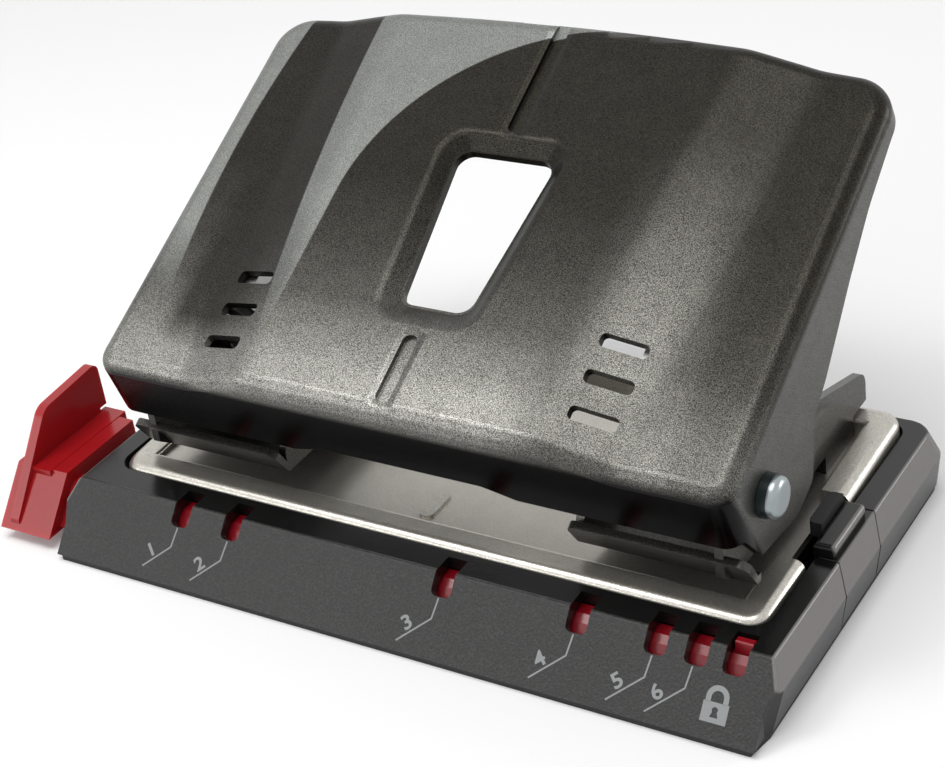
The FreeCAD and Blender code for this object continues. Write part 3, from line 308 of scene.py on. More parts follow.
# spark-eroded grain of moulded plastic
def grainGroup():
    group = bpy.data.node_groups.new("mouldGrain", "ShaderNodeTree")
    groupSocket(group, "Vector", "INPUT", "NodeSocketVector")
    groupSocket(group, "Scale", "INPUT", "NodeSocketFloat")
    groupSocket(group, "Height", "OUTPUT", "NodeSocketFloat")
    groupSocket(group, "Rub", "OUTPUT", "NodeSocketFloat")
    ins = group.nodes.new("NodeGroupInput")
    outs = group.nodes.new("NodeGroupOutput")
    pits = addNode(group, "ShaderNodeTexVoronoi", feature="SMOOTH_F1")
    group.links.new(ins.outputs["Vector"], pits.inputs["Vector"])
    group.links.new(ins.outputs["Scale"], pits.inputs["Scale"])
    group.links.new(pits.outputs["Distance"], outs.inputs["Height"])
    rub = addNode(group, "ShaderNodeTexNoise", {"Scale": grainLook["rubScale"],
                                                "Detail": grainLook["rubDetail"]})
    group.links.new(ins.outputs["Vector"], rub.inputs["Vector"])
    group.links.new(rub.outputs["Fac"], outs.inputs["Rub"])
    return group


metalFleck = fleckGroup()
mouldGrain = grainGroup()


def bumpFrom(tree, shader, height, strength, distance):
    bump = addNode(tree, "ShaderNodeBump", {"Strength": strength, "Distance": distance})
    tree.links.new(height, bump.inputs["Height"])
    tree.links.new(bump.outputs["Normal"], shader.inputs["Normal"])


def bandedColour(tree, shade, dark, light):
    ramp = addNode(tree, "ShaderNodeValToRGB")
    ramp.color_ramp.elements[0].color = dark
    ramp.color_ramp.elements[1].color = light
    tree.links.new(shade, ramp.inputs["Fac"])
    return ramp.outputs["Color"]


def unevenRoughness(tree, shade, roughness, change):
    # the given roughness where shade is a half; from shade 0 to 1 it changes by change
    return mathNode(tree, "MULTIPLY_ADD", shade, change, roughness - change / 2)


leverPaint = {
    # lit and shaded colours of the one paint: the painted shade mixes them, lit at the front and
    # shaded at the rear
    "shadedGrain": linear(6, 5, 3),
    "shadedFleck": linear(54, 52, 45),
    "litGrain": linear(66, 65, 60),
    "litFleck": linear(170, 169, 164),
    "silverGrain": linear(96, 97, 94),
    "silverFleck": linear(146, 148, 144),
    # the lip painted near black: painted reflection of a dark surround on the same paint
    "gloss": linear(7, 6, 5),
    "fleckScale": 7600.0,
    "fleckRelief": 0.03,        # beside the depth of a groove's shoulder
    "fleckRoughness": -0.08,
    "metallic": 0.93,
    "roughness": 0.40,
    "lipRoughness": -0.24,
    "coat": 0.1,
    "coatRoughness": 0.12,
    # the plate's frame: its tilt in degrees, the fold's Y and Z, and its length in millimetres
    "tilt": 27.5,
    "fold": (-0.02142, 0.02928),
    "length": 66.0,
}

# painted light and shade on the plate: how much of the lit front colour is left
leverPaintedLight = {
    # painted shade from the fold (0) to the rear edge (1), darker towards the rear
    "fade": [(0.0, 1.0), (0.08, 0.88), (0.14, 0.6), (0.24, 0.22), (0.38, 0.08), (0.56, 0.0)],
    "fall": 0.1,            # painted shade on the left-hand fall
    "right": 0.4,           # painted shade right of the right-hand crease
    "slots": 0.4,           # painted shade round the right-hand slots
    "ramp": 0.24,           # painted highlight that the right-hand ramp gains
    "flange": 0.42,         # the least on the flanges: painted light keeps the side flanges lighter
}

# where the tones change, painted light and shade among them, in millimetres: the middle of the
# change and half its width, which is negative where a tone ends instead of starts
leverEdges = {
    "fallLeft": (-40.0, 1.5),
    "fallRight": (-27.0, -4.0),
    "fallFront": (7.0, 3.0),
    "right": (36.0, 6.0),
    "slotsLeft": (20.0, 5.0),
    "slotsRight": (35.0, -3.0),
    "slotsRear": (14.0, -5.0),
    "rampLeft": (24.0, 4.0),
    "rampRight": (36.0, -4.0),
    "rampFront": (8.0, 5.0),
    "rampRear": (38.0, -12.0),
    "flangeSide": (47.4, 0.4),
    "flangeTop": (-2.2, -0.6),
    "faceFoot": (-1.2, 0.4),
    "lipTop": (-1.0, -0.6),
    "lipRear": (1.0, -0.4),
}

# silver field of the plate, in millimetres across it and behind the fold
silverSweep = {
    "edge": 0.12,               # half the width of its edges
    # left-hand curve: its rearmost point, how far it bends over its run, and the run
    "curveEnd": (-29.9, 65.0),
    "curveBend": 6.4,
    "curveRun": 56.0,
    # quarter ellipse round the hand opening: its middle and its two half axes
    "ellipseMiddle": (14.0, 32.0),
    "ellipseAxes": (36.4, 33.0),
    "ellipseEdge": 0.006,
    "fade": (16.0, 14.0),
    # sliver at the left-hand edge
    "sliverMiddle": (-44.6, 40.0),
    "sliverBend": 2.2,
    "sliverRun": 26.0,
    "sliverFade": (18.0, 6.0),
}

# soft shoulders beside the two pressed grooves, in millimetres; the depth is in metres
grooveShoulder = {
    "across": (0.9, 2.1),
    "frontStart": (1.6, 0.5),
    "frontEnd": (12.6, -0.5),
    "rearStart": (45.0, 0.5),
    "depth": 0.00035,
}


def leverCoordinates(tree):
    # millimetres across the plate, behind the fold and above the plate's plane
    place, axes = objectAxes(tree)
    lean = math.radians(leverPaint["tilt"])
    foldY, foldZ = leverPaint["fold"]
    across = mathNode(tree, "MULTIPLY", axes["X"], millimetres)
    forth = mathNode(tree, "SUBTRACT", axes["Y"], foldY)
    rise = mathNode(tree, "SUBTRACT", axes["Z"], foldZ)
    back = mathNode(tree, "MULTIPLY", forth, millimetres * math.cos(lean))
    behind = mathNode(tree, "MULTIPLY_ADD", rise, millimetres * math.sin(lean), back)
    down = mathNode(tree, "MULTIPLY", forth, -millimetres * math.sin(lean))
    height = mathNode(tree, "MULTIPLY_ADD", rise, millimetres * math.cos(lean), down)
    return place, across, behind, height


def leverEdge(tree, value, name):
    return sharpStep(tree, value, *leverEdges[name])


def squaredRun(tree, distance, run):
    share = mathNode(tree, "MULTIPLY", distance, 1 / run)
    return mathNode(tree, "MULTIPLY", share, share)


def sweepMask(tree, across, behind):
    # the silver field between the left-hand curve and the ellipse, and the sliver beside it
    endX, endY = silverSweep["curveEnd"]
    bend = squaredRun(tree, mathNode(tree, "SUBTRACT", endY, behind), silverSweep["curveRun"])
    curve = mathNode(tree, "MULTIPLY_ADD", bend, silverSweep["curveBend"], endX)
    pastCurve = sharpStep(tree, mathNode(tree, "SUBTRACT", across, curve), 0.0,
                          silverSweep["edge"])
    middleX, middleY = silverSweep["ellipseMiddle"]
    halfX, halfY = silverSweep["ellipseAxes"]
    left = mathNode(tree, "MAXIMUM", mathNode(tree, "SUBTRACT", middleX, across), 0.0)
    rear = mathNode(tree, "MAXIMUM", mathNode(tree, "SUBTRACT", behind, middleY), 0.0)
    reach = mathNode(tree, "ADD", squaredRun(tree, left, halfX), squaredRun(tree, rear, halfY))
    outside = sharpStep(tree, reach, 1.0, silverSweep["ellipseEdge"])
    field = product(tree, pastCurve, outside, sharpStep(tree, behind, *silverSweep["fade"]))

    sliverX, sliverY = silverSweep["sliverMiddle"]
    bend = squaredRun(tree, mathNode(tree, "SUBTRACT", behind, sliverY),
                      silverSweep["sliverRun"])
    curve = mathNode(tree, "MULTIPLY_ADD", bend, silverSweep["sliverBend"], sliverX)
    beforeCurve = sharpStep(tree, mathNode(tree, "SUBTRACT", curve, across), 0.0,
                            silverSweep["edge"])
    sliver = product(tree, beforeCurve, sharpStep(tree, behind, *silverSweep["sliverFade"]))
    return mathNode(tree, "MAXIMUM", field, sliver, clamp=True)


def shaded(tree, tone, mask, share):
    # the tone times share where the mask is 1
    return product(tree, tone, mathNode(tree, "MULTIPLY_ADD", mask, share - 1.0, 1.0))


def leverPaintedShade(tree, across, behind, height):
    # painted light and shade of the plate, as a share of the lit colour
    along = mathNode(tree, "MULTIPLY", behind, 1 / leverPaint["length"], clamp=True)
    fade = addNode(tree, "ShaderNodeValToRGB")
    stops = fade.color_ramp.elements
    while len(stops) < len(leverPaintedLight["fade"]):
        stops.new(0.5)
    for stop, (place, share) in zip(stops, leverPaintedLight["fade"]):
        stop.position = place
        stop.color = (share, share, share, 1.0)
    tree.links.new(along, fade.inputs["Fac"])
    # painted shade on the left-hand fall, right of the crease and round the slots
    fall = product(tree, leverEdge(tree, across, "fallLeft"),
                   leverEdge(tree, across, "fallRight"), leverEdge(tree, behind, "fallFront"))
    slots = product(tree, leverEdge(tree, across, "slotsLeft"),
                    leverEdge(tree, across, "slotsRight"), leverEdge(tree, behind, "slotsRear"))
    tone = shaded(tree, fade.outputs["Color"], fall, leverPaintedLight["fall"])
    tone = shaded(tree, tone, leverEdge(tree, across, "right"), leverPaintedLight["right"])
    tone = shaded(tree, tone, slots, leverPaintedLight["slots"])
    # painted highlight on the right-hand ramp
    ramp = product(tree, leverEdge(tree, across, "rampLeft"),
                   leverEdge(tree, across, "rampRight"),
                   leverEdge(tree, behind, "rampFront"), leverEdge(tree, behind, "rampRear"))
    tone = mathNode(tree, "MULTIPLY_ADD", ramp, leverPaintedLight["ramp"], tone)
    fromMiddle = mathNode(tree, "ABSOLUTE", across)
    # painted light: the flanges keep at least this share of the lit colour
    flange = product(tree, leverEdge(tree, height, "flangeTop"),
                     leverEdge(tree, fromMiddle, "flangeSide"), leverPaintedLight["flange"])
    return mathNode(tree, "MAXIMUM", tone, flange)


def channelHeight(tree, across, behind):
    # -1 in a groove, 0 away from it
    side = softRange(tree, mathNode(tree, "ABSOLUTE", across), *grooveShoulder["across"],
                     interpolation_type="SMOOTHSTEP")
    front = product(tree, sharpStep(tree, behind, *grooveShoulder["frontStart"]),
                    sharpStep(tree, behind, *grooveShoulder["frontEnd"]))
    rear = sharpStep(tree, behind, *grooveShoulder["rearStart"])
    return product(tree, mathNode(tree, "SUBTRACT", side, 1.0),
                   mathNode(tree, "MAXIMUM", front, rear))


def paintedLever(name):
    material, tree, shader = newMaterial(name)
    place, across, behind, height = leverCoordinates(tree)
    fleck = placeGroup(tree, metalFleck, {"Vector": place, "Scale": leverPaint["fleckScale"]})
    shade = fleck.outputs["Shade"]
    rear = bandedColour(tree, shade, leverPaint["shadedGrain"], leverPaint["shadedFleck"])
    front = bandedColour(tree, shade, leverPaint["litGrain"], leverPaint["litFleck"])
    silver = bandedColour(tree, shade, leverPaint["silverGrain"], leverPaint["silverFleck"])
    face = leverEdge(tree, height, "faceFoot")
    lip = product(tree, leverEdge(tree, height, "lipTop"), leverEdge(tree, behind, "lipRear"))
    # painted shade: the plate's colour runs between the lit and the shaded paint
    colour = mixColours(tree, leverPaintedShade(tree, across, behind, height), rear, front)
    colour = mixColours(tree, product(tree, sweepMask(tree, across, behind), face),
                        colour, silver)
    # painted reflection: the lip takes the near-black colour
    colour = mixColours(tree, lip, colour, leverPaint["gloss"])
    tree.links.new(colour, shader.inputs["Base Color"])
    rough = unevenRoughness(tree, shade, leverPaint["roughness"], leverPaint["fleckRoughness"])
    rough = mathNode(tree, "MULTIPLY_ADD", lip, leverPaint["lipRoughness"], rough)
    tree.links.new(rough, shader.inputs["Roughness"])
    shader.inputs["Metallic"].default_value = leverPaint["metallic"]
    shader.inputs["Coat Weight"].default_value = leverPaint["coat"]
    shader.inputs["Coat Roughness"].default_value = leverPaint["coatRoughness"]
    channel = product(tree, channelHeight(tree, across, behind), face)
    grain = product(tree, fleck.outputs["Height"], leverPaint["fleckRelief"])
    bumpFrom(tree, shader, mathNode(tree, "ADD", channel, grain), 1.0, grooveShoulder["depth"])
    return material


# a bump is its strength and its depth in metres
steelPaint = {
    "metallic": 0.85,
    "fleckRoughness": -0.06,
    "coat": 0.25,
    "coatRoughness": 0.12,
    "bump": (0.25, 0.00003),
}


def paintedSteel(name, grain, bright, roughness):
    material, tree, shader = newMaterial(name)
    fleck = placeGroup(tree, metalFleck, {"Vector": objectPlace(tree),
                                          "Scale": leverPaint["fleckScale"]})
    shade = fleck.outputs["Shade"]
    tree.links.new(bandedColour(tree, shade, grain, bright), shader.inputs["Base Color"])
    rough = unevenRoughness(tree, shade, roughness, steelPaint["fleckRoughness"])
    tree.links.new(rough, shader.inputs["Roughness"])
    shader.inputs["Metallic"].default_value = steelPaint["metallic"]
    shader.inputs["Coat Weight"].default_value = steelPaint["coat"]
    shader.inputs["Coat Roughness"].default_value = steelPaint["coatRoughness"]
    bumpFrom(tree, shader, fleck.outputs["Height"], *steelPaint["bump"])
    return material


mouldedLook = {
    "rubRoughness": 0.10,
    "grainDepth": 0.00003,
}


def mouldedPlastic(name, dark, light, roughness, grainScale, bump):
    material, tree, shader = newMaterial(name)
    grain = placeGroup(tree, mouldGrain, {"Vector": objectPlace(tree), "Scale": grainScale})
    rub = grain.outputs["Rub"]
    tree.links.new(mixColours(tree, rub, dark, light), shader.inputs["Base Color"])
    rough = unevenRoughness(tree, rub, roughness, mouldedLook["rubRoughness"])
    tree.links.new(rough, shader.inputs["Roughness"])
    bumpFrom(tree, shader, grain.outputs["Height"], bump, mouldedLook["grainDepth"])
    return material


casingPlastic = {
    "colour": linear(24, 23, 23),
    "lighter": linear(50, 49, 48),
    "rim": linear(17, 17, 17),
    # painted highlight of the ends' upper facets
    "polished": linear(116, 113, 111),
    "faceRoughness": 0.46,
    "edgeRoughness": 0.16,
    "rubRoughness": 0.08,
    "specular": 0.45,
    "grainScale": 3600.0,
    "specks": (0.15, 0.75),
    "rimRelief": 0.1,
    "bump": (0.8, 0.0001),
    # the front face's foot, how far it leans back for each metre up, and its edge
    "faceFoot": (-0.0317, 0.001),
    "faceLean": 0.8837,
    "faceEdge": (0.00035, -0.0001),
    # upper facet of each end: its lower edge, how far it leans in for each metre up, its edges
    "facetFoot": (0.0562, 0.006),
    "facetLean": 0.472,
    "facetEdge": (-0.0002, 0.0001),
    "facetFootEdge": 0.0001,
}


def faceMask(tree, axes):
    footY, footZ = casingPlastic["faceFoot"]
    lean = casingPlastic["faceLean"]
    face = mathNode(tree, "MULTIPLY_ADD", axes["Z"], lean, footY - footZ * lean)
    behind = mathNode(tree, "SUBTRACT", axes["Y"], face)
    return sharpStep(tree, behind, *casingPlastic["faceEdge"])


def facetMask(tree, axes):
    footX, footZ = casingPlastic["facetFoot"]
    lean = casingPlastic["facetLean"]
    outward = mathNode(tree, "MULTIPLY_ADD", axes["Z"], lean, -footX - footZ * lean)
    outward = mathNode(tree, "ADD", outward, mathNode(tree, "ABSOLUTE", axes["X"]))
    return product(tree, sharpStep(tree, outward, *casingPlastic["facetEdge"]),
                   sharpStep(tree, axes["Z"], footZ, casingPlastic["facetFootEdge"]))


def casingFinish(name):
    # grained on the leaning front face, smooth on the rim, with a painted highlight on the ends'
    # upper facets
    material, tree, shader = newMaterial(name)
    place, axes = objectAxes(tree)
    grain = placeGroup(tree, mouldGrain, {"Vector": place, "Scale": casingPlastic["grainScale"]})
    specks = softRange(tree, grain.outputs["Height"], *casingPlastic["specks"])
    grained = faceMask(tree, axes)
    colour = mixColours(tree, specks, casingPlastic["colour"], casingPlastic["lighter"])
    colour = mixColours(tree, grained, casingPlastic["rim"], colour)
    # painted highlight on the ends' upper facets
    colour = mixColours(tree, facetMask(tree, axes), colour, casingPlastic["polished"])
    tree.links.new(colour, shader.inputs["Base Color"])
    shader.inputs["Specular IOR Level"].default_value = casingPlastic["specular"]
    smooth = casingPlastic["edgeRoughness"]
    rough = mathNode(tree, "MULTIPLY_ADD", grained, casingPlastic["faceRoughness"] - smooth,
                     smooth)
    rough = mathNode(tree, "MULTIPLY_ADD", grain.outputs["Rub"],
                     casingPlastic["rubRoughness"], rough)
    tree.links.new(rough, shader.inputs["Roughness"])
    least = casingPlastic["rimRelief"]
    relief = mathNode(tree, "MULTIPLY_ADD", grained, 1.0 - least, least)
    bumpFrom(tree, shader, product(tree, grain.outputs["Height"], relief),
             *casingPlastic["bump"])
    return material


guidePlastic = {
    "deep": linear(126, 12, 18),
    "light": linear(184, 28, 34),
    "roughness": 0.22,
    "grainScale": 1500.0,
    "bump": 0.12,
    # the bar's painted shade, the X where it starts and the run it takes
    "barShade": linear(136, 12, 26),
    "barStart": -0.050,
    "barRun": 0.016,
    "glowWeight": 0.25,
    "glowDepths": (0.004, 0.0006, 0.0005),
}


def redPlastic(name):
    # painted shade: the bar that runs behind the windows is painted deeper than the stop, for the
    # shade it lies in
    material = mouldedPlastic(name, guidePlastic["deep"], guidePlastic["light"],
                              guidePlastic["roughness"], guidePlastic["grainScale"],
                              guidePlastic["bump"])
    tree = material.node_tree
    shader = tree.nodes["Principled BSDF"]
    colour = shader.inputs["Base Color"].links[0].from_socket
    across = objectAxes(tree)[1]["X"]
    run = guidePlastic["barRun"]
    bar = mathNode(tree, "MULTIPLY_ADD", across, 1.0 / run, -guidePlastic["barStart"] / run,
                   clamp=True)
    tree.links.new(mixColours(tree, bar, colour, guidePlastic["barShade"]),
                   shader.inputs["Base Color"])
    shader.inputs["Subsurface Weight"].default_value = guidePlastic["glowWeight"]
    shader.inputs["Subsurface Radius"].default_value = guidePlastic["glowDepths"]
    shader.inputs["Subsurface Scale"].default_value = 1.0
    return material


turnedLook = {
    "dim": 0.8,
    "noiseDetail": 3.0,
    "noiseRoughness": 0.6,
    "streakRoughness": 0.2,
    "bump": (0.15, 0.00002),
}


def turnedSteel(name, colour, roughness, streaks):
    material, tree, shader = newMaterial(name)
    stretch = addNode(tree, "ShaderNodeMapping", {"Scale": streaks})
    tree.links.new(objectPlace(tree), stretch.inputs["Vector"])
    noise = addNode(tree, "ShaderNodeTexNoise", {"Scale": 1.0,
                                                 "Detail": turnedLook["noiseDetail"],
                                                 "Roughness": turnedLook["noiseRoughness"]})
    tree.links.new(stretch.outputs["Vector"], noise.inputs["Vector"])
    streak = noise.outputs["Fac"]
    dim = tuple(part * turnedLook["dim"] for part in colour[:3]) + (1.0,)
    tree.links.new(mixColours(tree, streak, dim, colour), shader.inputs["Base Color"])
    rough = unevenRoughness(tree, streak, roughness, turnedLook["streakRoughness"])
    tree.links.new(rough, shader.inputs["Roughness"])
    shader.inputs["Metallic"].default_value = 1.0
    bumpFrom(tree, shader, streak, *turnedLook["bump"])
    return material


# streaks are noise scales along X, Y and Z
finishes = {
    "leverPaint": paintedLever("leverPaint"),
    "platePaint": paintedSteel("platePaint", linear(160, 157, 149), linear(220, 216, 207),
                               roughness=0.30),
    "bracketPaint": paintedSteel("bracketPaint", linear(36, 35, 33), linear(88, 86, 82),
                                 roughness=0.34),
    "casingPlastic": casingFinish("casingPlastic"),
    "trayPlastic": mouldedPlastic("trayPlastic", linear(16, 16, 17), linear(24, 24, 25),
                                  roughness=0.5, grainScale=1800.0, bump=0.3),
    "washerPlastic": mouldedPlastic("washerPlastic", linear(16, 26, 28), linear(22, 36, 38),
                                    roughness=0.25, grainScale=1800.0, bump=0.1),
    "redPlastic": redPlastic("redPlastic"),
    "punchSteel": turnedSteel("punchSteel", linear(176, 176, 174), roughness=0.28,
                              streaks=(400.0, 400.0, 4000.0)),
    "zincSteel": turnedSteel("zincSteel", linear(200, 201, 199), roughness=0.36,
                             streaks=(900.0, 900.0, 900.0)),
    "pinNickel": turnedSteel("pinNickel", linear(168, 176, 178), roughness=0.30,
                             streaks=(60.0, 60.0, 60.0)),
}

# the finish of each node
wearing = {
    "lever": "leverPaint",
    "base_plate": "platePaint",
    "bracket_left": "bracketPaint",
    "bracket_right": "bracketPaint",
    "casing": "casingPlastic",
    "lock_slider": "casingPlastic",
    "lock_tongue": "trayPlastic",
    "chip_tray": "trayPlastic",
    "paper_guide": "redPlastic",
    "guide_detent": "redPlastic",
    "pivot_pin_left": "pinNickel",
    "pivot_pin_right": "pinNickel",
    "pivot_washer_left": "washerPlastic",
    "pivot_washer_right": "washerPlastic",
    "press_bracket_left": "zincSteel",
    "press_bracket_right": "zincSteel",
}
# nodes not named above are zinc-plated, but those whose names start with these are ground
groundSteel = ("punch_", "die_", "press_", "guide_bush")


def dressNode(name, node):
    plain = "punchSteel" if name.startswith(groundSteel) else "zincSteel"
    material = finishes[wearing.get(name, plain)]
    if not node.material_slots:
        node.data.materials.append(material)
    for slot in node.material_slots:
        slot.material = material


for name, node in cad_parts.items():
    dressNode(name, node)
print("finishes given to the CAD nodes")

# print on the casing's leaning face, in metres across and up the face from the middle of its foot
facePrint = {
    "film": 0.000012,           # half the thickness of the print
    "weld": 0.000001,           # corners nearer than this become one
    "line": 0.00022,
    "sharpestCorner": 0.5,
    # each window's middle and the run of its slanted line
    "leaders": {"1": (-0.0351, 0.0040), "2": (-0.0263, 0.0042), "3": (0.0084, 0.0044),
                "4": (0.0284, 0.0044), "5": (0.0394, 0.0044), "6": (0.0449, 0.0045)},
    # each leader's top and knee: how far left of the window's middle, and how far up
    "leaderTop": (0.0001, 0.0081),
    "leaderKnee": (0.0004, 0.0053),
    "slant": 41.7,
    # figures: their height and its share of the type's size, and their place over the line
    "figureHeight": 0.0019,
    "figureShare": 0.70,
    "figureWidth": 1.15,
    "figureAlong": 0.42,
    "figureRise": 0.00045,
    "figureBold": 0.00006,
    "figureSteps": 4,
}
lockSign = {
    "middle": (0.0489, 0.0034),
    "width": 0.0034,
    "height": 0.0025,
    "shackleRadius": 0.00116,
    "shackleLine": 0.00068,
    "shackleLeg": 0.0006,
    "shackleSunk": 0.0001,
    "shackleStep": 15,
    # keyhole: a round top on a skirt, half its width and its drop; angles in degrees
    "keyRise": 0.0003,
    "keyRadius": 0.00040,
    "keyArc": 130,
    "keyStep": 20,
    "keySkirt": (0.00055, 0.0009),
}


def faceFrame():
    # X across the casing's front face, Y up it and Z out of it
    up = Vector((0, casingPlastic["faceLean"], 1)).normalized()
    across = Vector((1, 0, 0))
    turn = Matrix((across, up, across.cross(up))).transposed().to_4x4()
    return Matrix.Translation((0, *casingPlastic["faceFoot"])) @ turn


def flatMesh(name, outlines):
    # closed outlines in the face's plane, holes included, as one thin film
    curve = bpy.data.curves.new(name, "CURVE")
    curve.dimensions = "2D"
    curve.fill_mode = "BOTH"
    curve.extrude = facePrint["film"]
    for outline in outlines:
        spline = curve.splines.new("POLY")
        spline.points.add(len(outline) - 1)
        for point, (across, up) in zip(spline.points, outline):
            point.co = (across, up, 0, 1)
        spline.use_cyclic_u = True
    holder = bpy.data.objects.new(name, curve)
    mesh = bpy.data.meshes.new_from_object(holder)
    bpy.data.objects.remove(holder)
    return mesh


def ribbon(path, width):
    # outline of a line of even width along a path
    left, right = [], []
    for step, point in enumerate(path):
        before = path[max(step - 1, 0)]
        after = path[min(step + 1, len(path) - 1)]
        come = (Vector(point) - Vector(before)).normalized()
        leave = (Vector(after) - Vector(point)).normalized()
        run = (come + leave).normalized()
        side = Vector((-run.y, run.x))
        reach = width / 2
        if come.length and leave.length:
            reach /= max(run.dot(come), facePrint["sharpestCorner"])
        left.append(tuple(Vector(point) + side * reach))
        right.append(tuple(Vector(point) - side * reach))
    return left + right[::-1]


def figureMesh(text, place):
    curve = bpy.data.curves.new("figure" + text, "FONT")
    curve.body = text
    curve.align_x = "CENTER"
    curve.size = facePrint["figureHeight"] / facePrint["figureShare"]
    curve.offset = facePrint["figureBold"]
    curve.extrude = facePrint["film"]
    curve.resolution_u = facePrint["figureSteps"]
    holder = bpy.data.objects.new("figure" + text, curve)
    mesh = bpy.data.meshes.new_from_object(holder)
    bpy.data.objects.remove(holder)
    turn = Matrix.Rotation(math.radians(facePrint["slant"]), 4, "Z")
    widen = Matrix.Diagonal((facePrint["figureWidth"], 1, 1, 1))
    mesh.transform(Matrix.Translation((place[0], place[1], 0)) @ turn @ widen)
    return mesh


def newPiece(name, bm, material):
    mesh = bpy.data.meshes.new(name)
    bm.to_mesh(mesh)
    bm.free()
    mesh.materials.append(material)
    piece = bpy.data.objects.new(name, mesh)
    scene.collection.objects.link(piece)
    return piece


def layOnFace(name, meshes, material, body):
    # joins flat meshes, sets them on the face and lets them ride
    bm = bmesh.new()
    for mesh in meshes:
        bm.from_mesh(mesh)
        bpy.data.meshes.remove(mesh)
    bmesh.ops.remove_doubles(bm, verts=bm.verts, dist=facePrint["weld"])
    bmesh.ops.recalc_face_normals(bm, faces=bm.faces)
    bmesh.ops.transform(bm, matrix=faceFrame(), verts=bm.verts)
    piece = newPiece(name, bm, material)
    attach(piece, body)


def makeLeaders(ink):
    slant = math.radians(facePrint["slant"])
    lines, figures = [], []
    topLeft, topY = facePrint["leaderTop"]
    kneeLeft, kneeY = facePrint["leaderKnee"]
    share, rise = facePrint["figureAlong"], facePrint["figureRise"]
    for text, (middle, run) in facePrint["leaders"].items():
        kneeX = middle - kneeLeft
        endX, endY = kneeX - run, kneeY - run * math.tan(slant)
        path = [(middle - topLeft, topY), (kneeX, kneeY), (endX, endY)]
        lines.append(ribbon(path, facePrint["line"]))
        figures.append(figureMesh(text, (
            endX + (kneeX - endX) * share - math.sin(slant) * rise,
            endY + (kneeY - endY) * share + math.cos(slant) * rise)))
    layOnFace("format_lines", [flatMesh("formatLines", lines)], ink, "base")
    layOnFace("format_figures", figures, ink, "base")


def makeLockSign(ink):
    middleX, middleY = lockSign["middle"]
    halfWidth, halfHeight = lockSign["width"] / 2, lockSign["height"] / 2
    shell = [(middleX - halfWidth, middleY - halfHeight),
             (middleX + halfWidth, middleY - halfHeight),
             (middleX + halfWidth, middleY + halfHeight),
             (middleX - halfWidth, middleY + halfHeight)]
    broad, drop = lockSign["keySkirt"]
    radius, arc = lockSign["keyRadius"], lockSign["keyArc"]
    keyY = middleY + lockSign["keyRise"]
    keyhole = [(middleX + radius * math.sin(math.radians(angle)),
                keyY + radius * math.cos(math.radians(angle)))
               for angle in range(-arc, arc + 1, lockSign["keyStep"])]
    keyhole += [(middleX + broad, keyY - drop), (middleX - broad, keyY - drop)]
    top = middleY + halfHeight
    foot = top - lockSign["shackleSunk"]
    bend = top + lockSign["shackleLeg"]
    reach, turn = lockSign["shackleRadius"], lockSign["shackleStep"]
    loop = [(middleX - reach, foot), (middleX - reach, bend)]
    loop += [(middleX - reach * math.cos(math.radians(angle)),
              bend + reach * math.sin(math.radians(angle))) for angle in range(turn, 180, turn)]
    loop += [(middleX + reach, bend), (middleX + reach, foot)]
    sign = [flatMesh("lockBody", [shell, keyhole]),
            flatMesh("lockShackle", [ribbon(loop, lockSign["shackleLine"])])]
    layOnFace("lock_sign", sign, ink, "base")


# rounded lower corners of the format windows, on the face's plane
windowCorner = {
    "lastWindow": 0.0500,       # the one that has no leader
    "sill": 0.008274,
    "half": 0.0015,
    "radius": 0.0008,
    "depth": 0.0013,
    "steps": 6,
}


def makeWindowCorners():
    bm = bmesh.new()
    sill, radius = windowCorner["sill"], windowCorner["radius"]
    middles = [middle for middle, run in facePrint["leaders"].values()]
    for middle in middles + [windowCorner["lastWindow"]]:
        for side in (-1, 1):
            edge = middle + side * windowCorner["half"]
            corners = [bm.verts.new((edge, sill, 0))]
            for step in range(windowCorner["steps"] + 1):
                angle = math.radians(90 * step / windowCorner["steps"])
                corners.append(bm.verts.new((edge - side * radius * (1 - math.cos(angle)),
                                             sill + radius * (1 - math.sin(angle)), 0)))
            face = bm.faces.new(corners)
            grown = bmesh.ops.extrude_face_region(bm, geom=[face])["geom"]
            inner = [part for part in grown if isinstance(part, bmesh.types.BMVert)]
            bmesh.ops.translate(bm, verts=inner, vec=(0, 0, -windowCorner["depth"]))
    bmesh.ops.recalc_face_normals(bm, faces=bm.faces)
    bmesh.ops.transform(bm, matrix=faceFrame(), verts=bm.verts)
    piece = newPiece("window_corners", bm, finishes["casingPlastic"])
    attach(piece, "base")


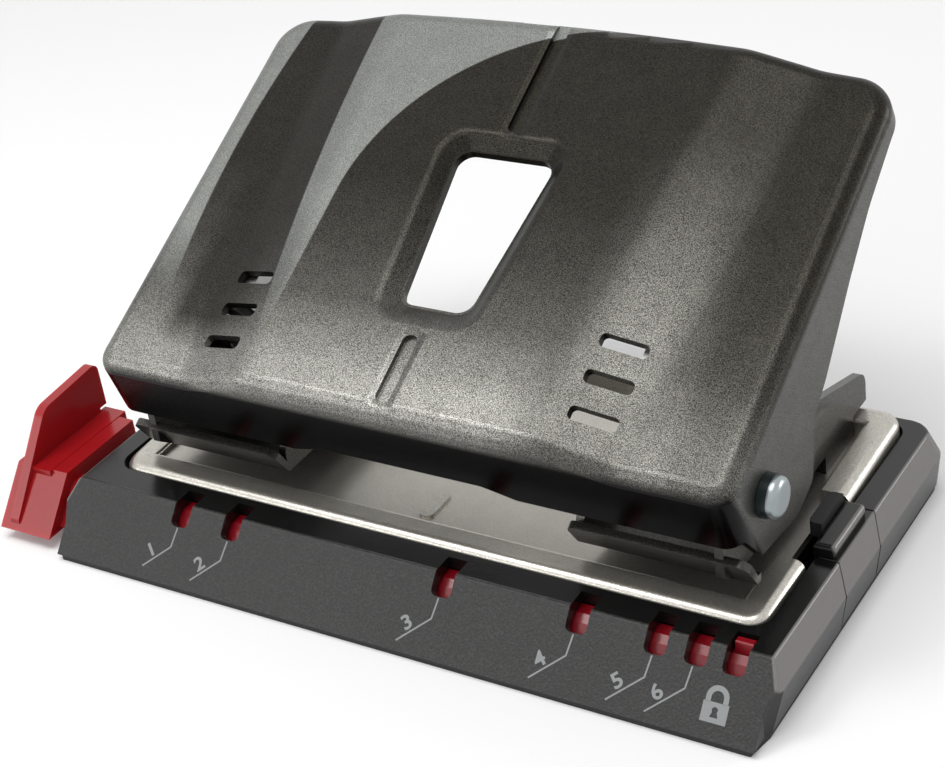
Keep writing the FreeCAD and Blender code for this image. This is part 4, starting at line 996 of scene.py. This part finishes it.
# return springs of the punches: round wire, a closed turn at each end
springCoil = {
    "wire": 0.0007,
    "wireSides": 10,
    "radius": 0.0034,
    "inset": 0.02,              # share of the wire that keeps the coil within its node's box
    "closedTurns": 1.0,
    "activeTurns": 4.5,
    "stepsPerTurn": 28,
    "stroke": 0.00577,
    "joints": {"punch_spring_left": "punch_left_slide", "punch_spring_right": "punch_right_slide"},
}


def makeSpring(node):
    low, high = (Vector(corner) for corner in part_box(node))
    wire, turnSteps = springCoil["wire"], springCoil["stepsPerTurn"]
    middle = ((low.x + high.x) / 2, (low.y + high.y) / 2, low.z + wire / 2)
    rise = high.z - low.z - wire
    closed = (springCoil["closedTurns"], wire)
    pitches = [closed, (springCoil["activeTurns"], rise - 2 * wire), closed]
    bm = bmesh.new()
    bmesh.ops.create_circle(bm, segments=springCoil["wireSides"], radius=wire / 2)
    bmesh.ops.rotate(bm, verts=bm.verts, cent=(0, 0, 0),
                     matrix=Matrix.Rotation(math.radians(90), 3, "X"))
    bmesh.ops.translate(bm, verts=bm.verts,
                        vec=(springCoil["radius"] - wire * springCoil["inset"], 0, 0))
    ends = bm.verts[:] + bm.edges[:]
    for turns, climb in pitches:
        steps = round(turns * turnSteps)
        grown = bmesh.ops.spin(bm, geom=ends, cent=(0, 0, 0), axis=(0, 0, 1),
                               dvec=(0, 0, climb / steps), angle=math.tau * turns,
                               steps=steps, use_merge=False, use_duplicate=False)
        ends = grown["geom_last"]
    openEdges = [edge for edge in bm.edges if edge.is_boundary]
    bmesh.ops.holes_fill(bm, edges=openEdges)
    bmesh.ops.recalc_face_normals(bm, faces=bm.faces)
    for face in bm.faces:
        face.smooth = True
    bmesh.ops.translate(bm, verts=bm.verts, vec=middle)
    piece = newPiece(node + "_coil", bm, finishes["punchSteel"])
    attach(piece, "base")
    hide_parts(node)
    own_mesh(piece)


for node, joint in springCoil["joints"].items():
    makeSpring(node)
print("springs coiled")

ink = mouldedPlastic("printInk", linear(132, 134, 135), linear(148, 150, 151),
                     roughness=0.5, grainScale=3600.0, bump=0.5)
makeLeaders(ink)
makeLockSign(ink)
print("figures, leader lines and lock sign printed")
makeWindowCorners()
print("window corners rounded")
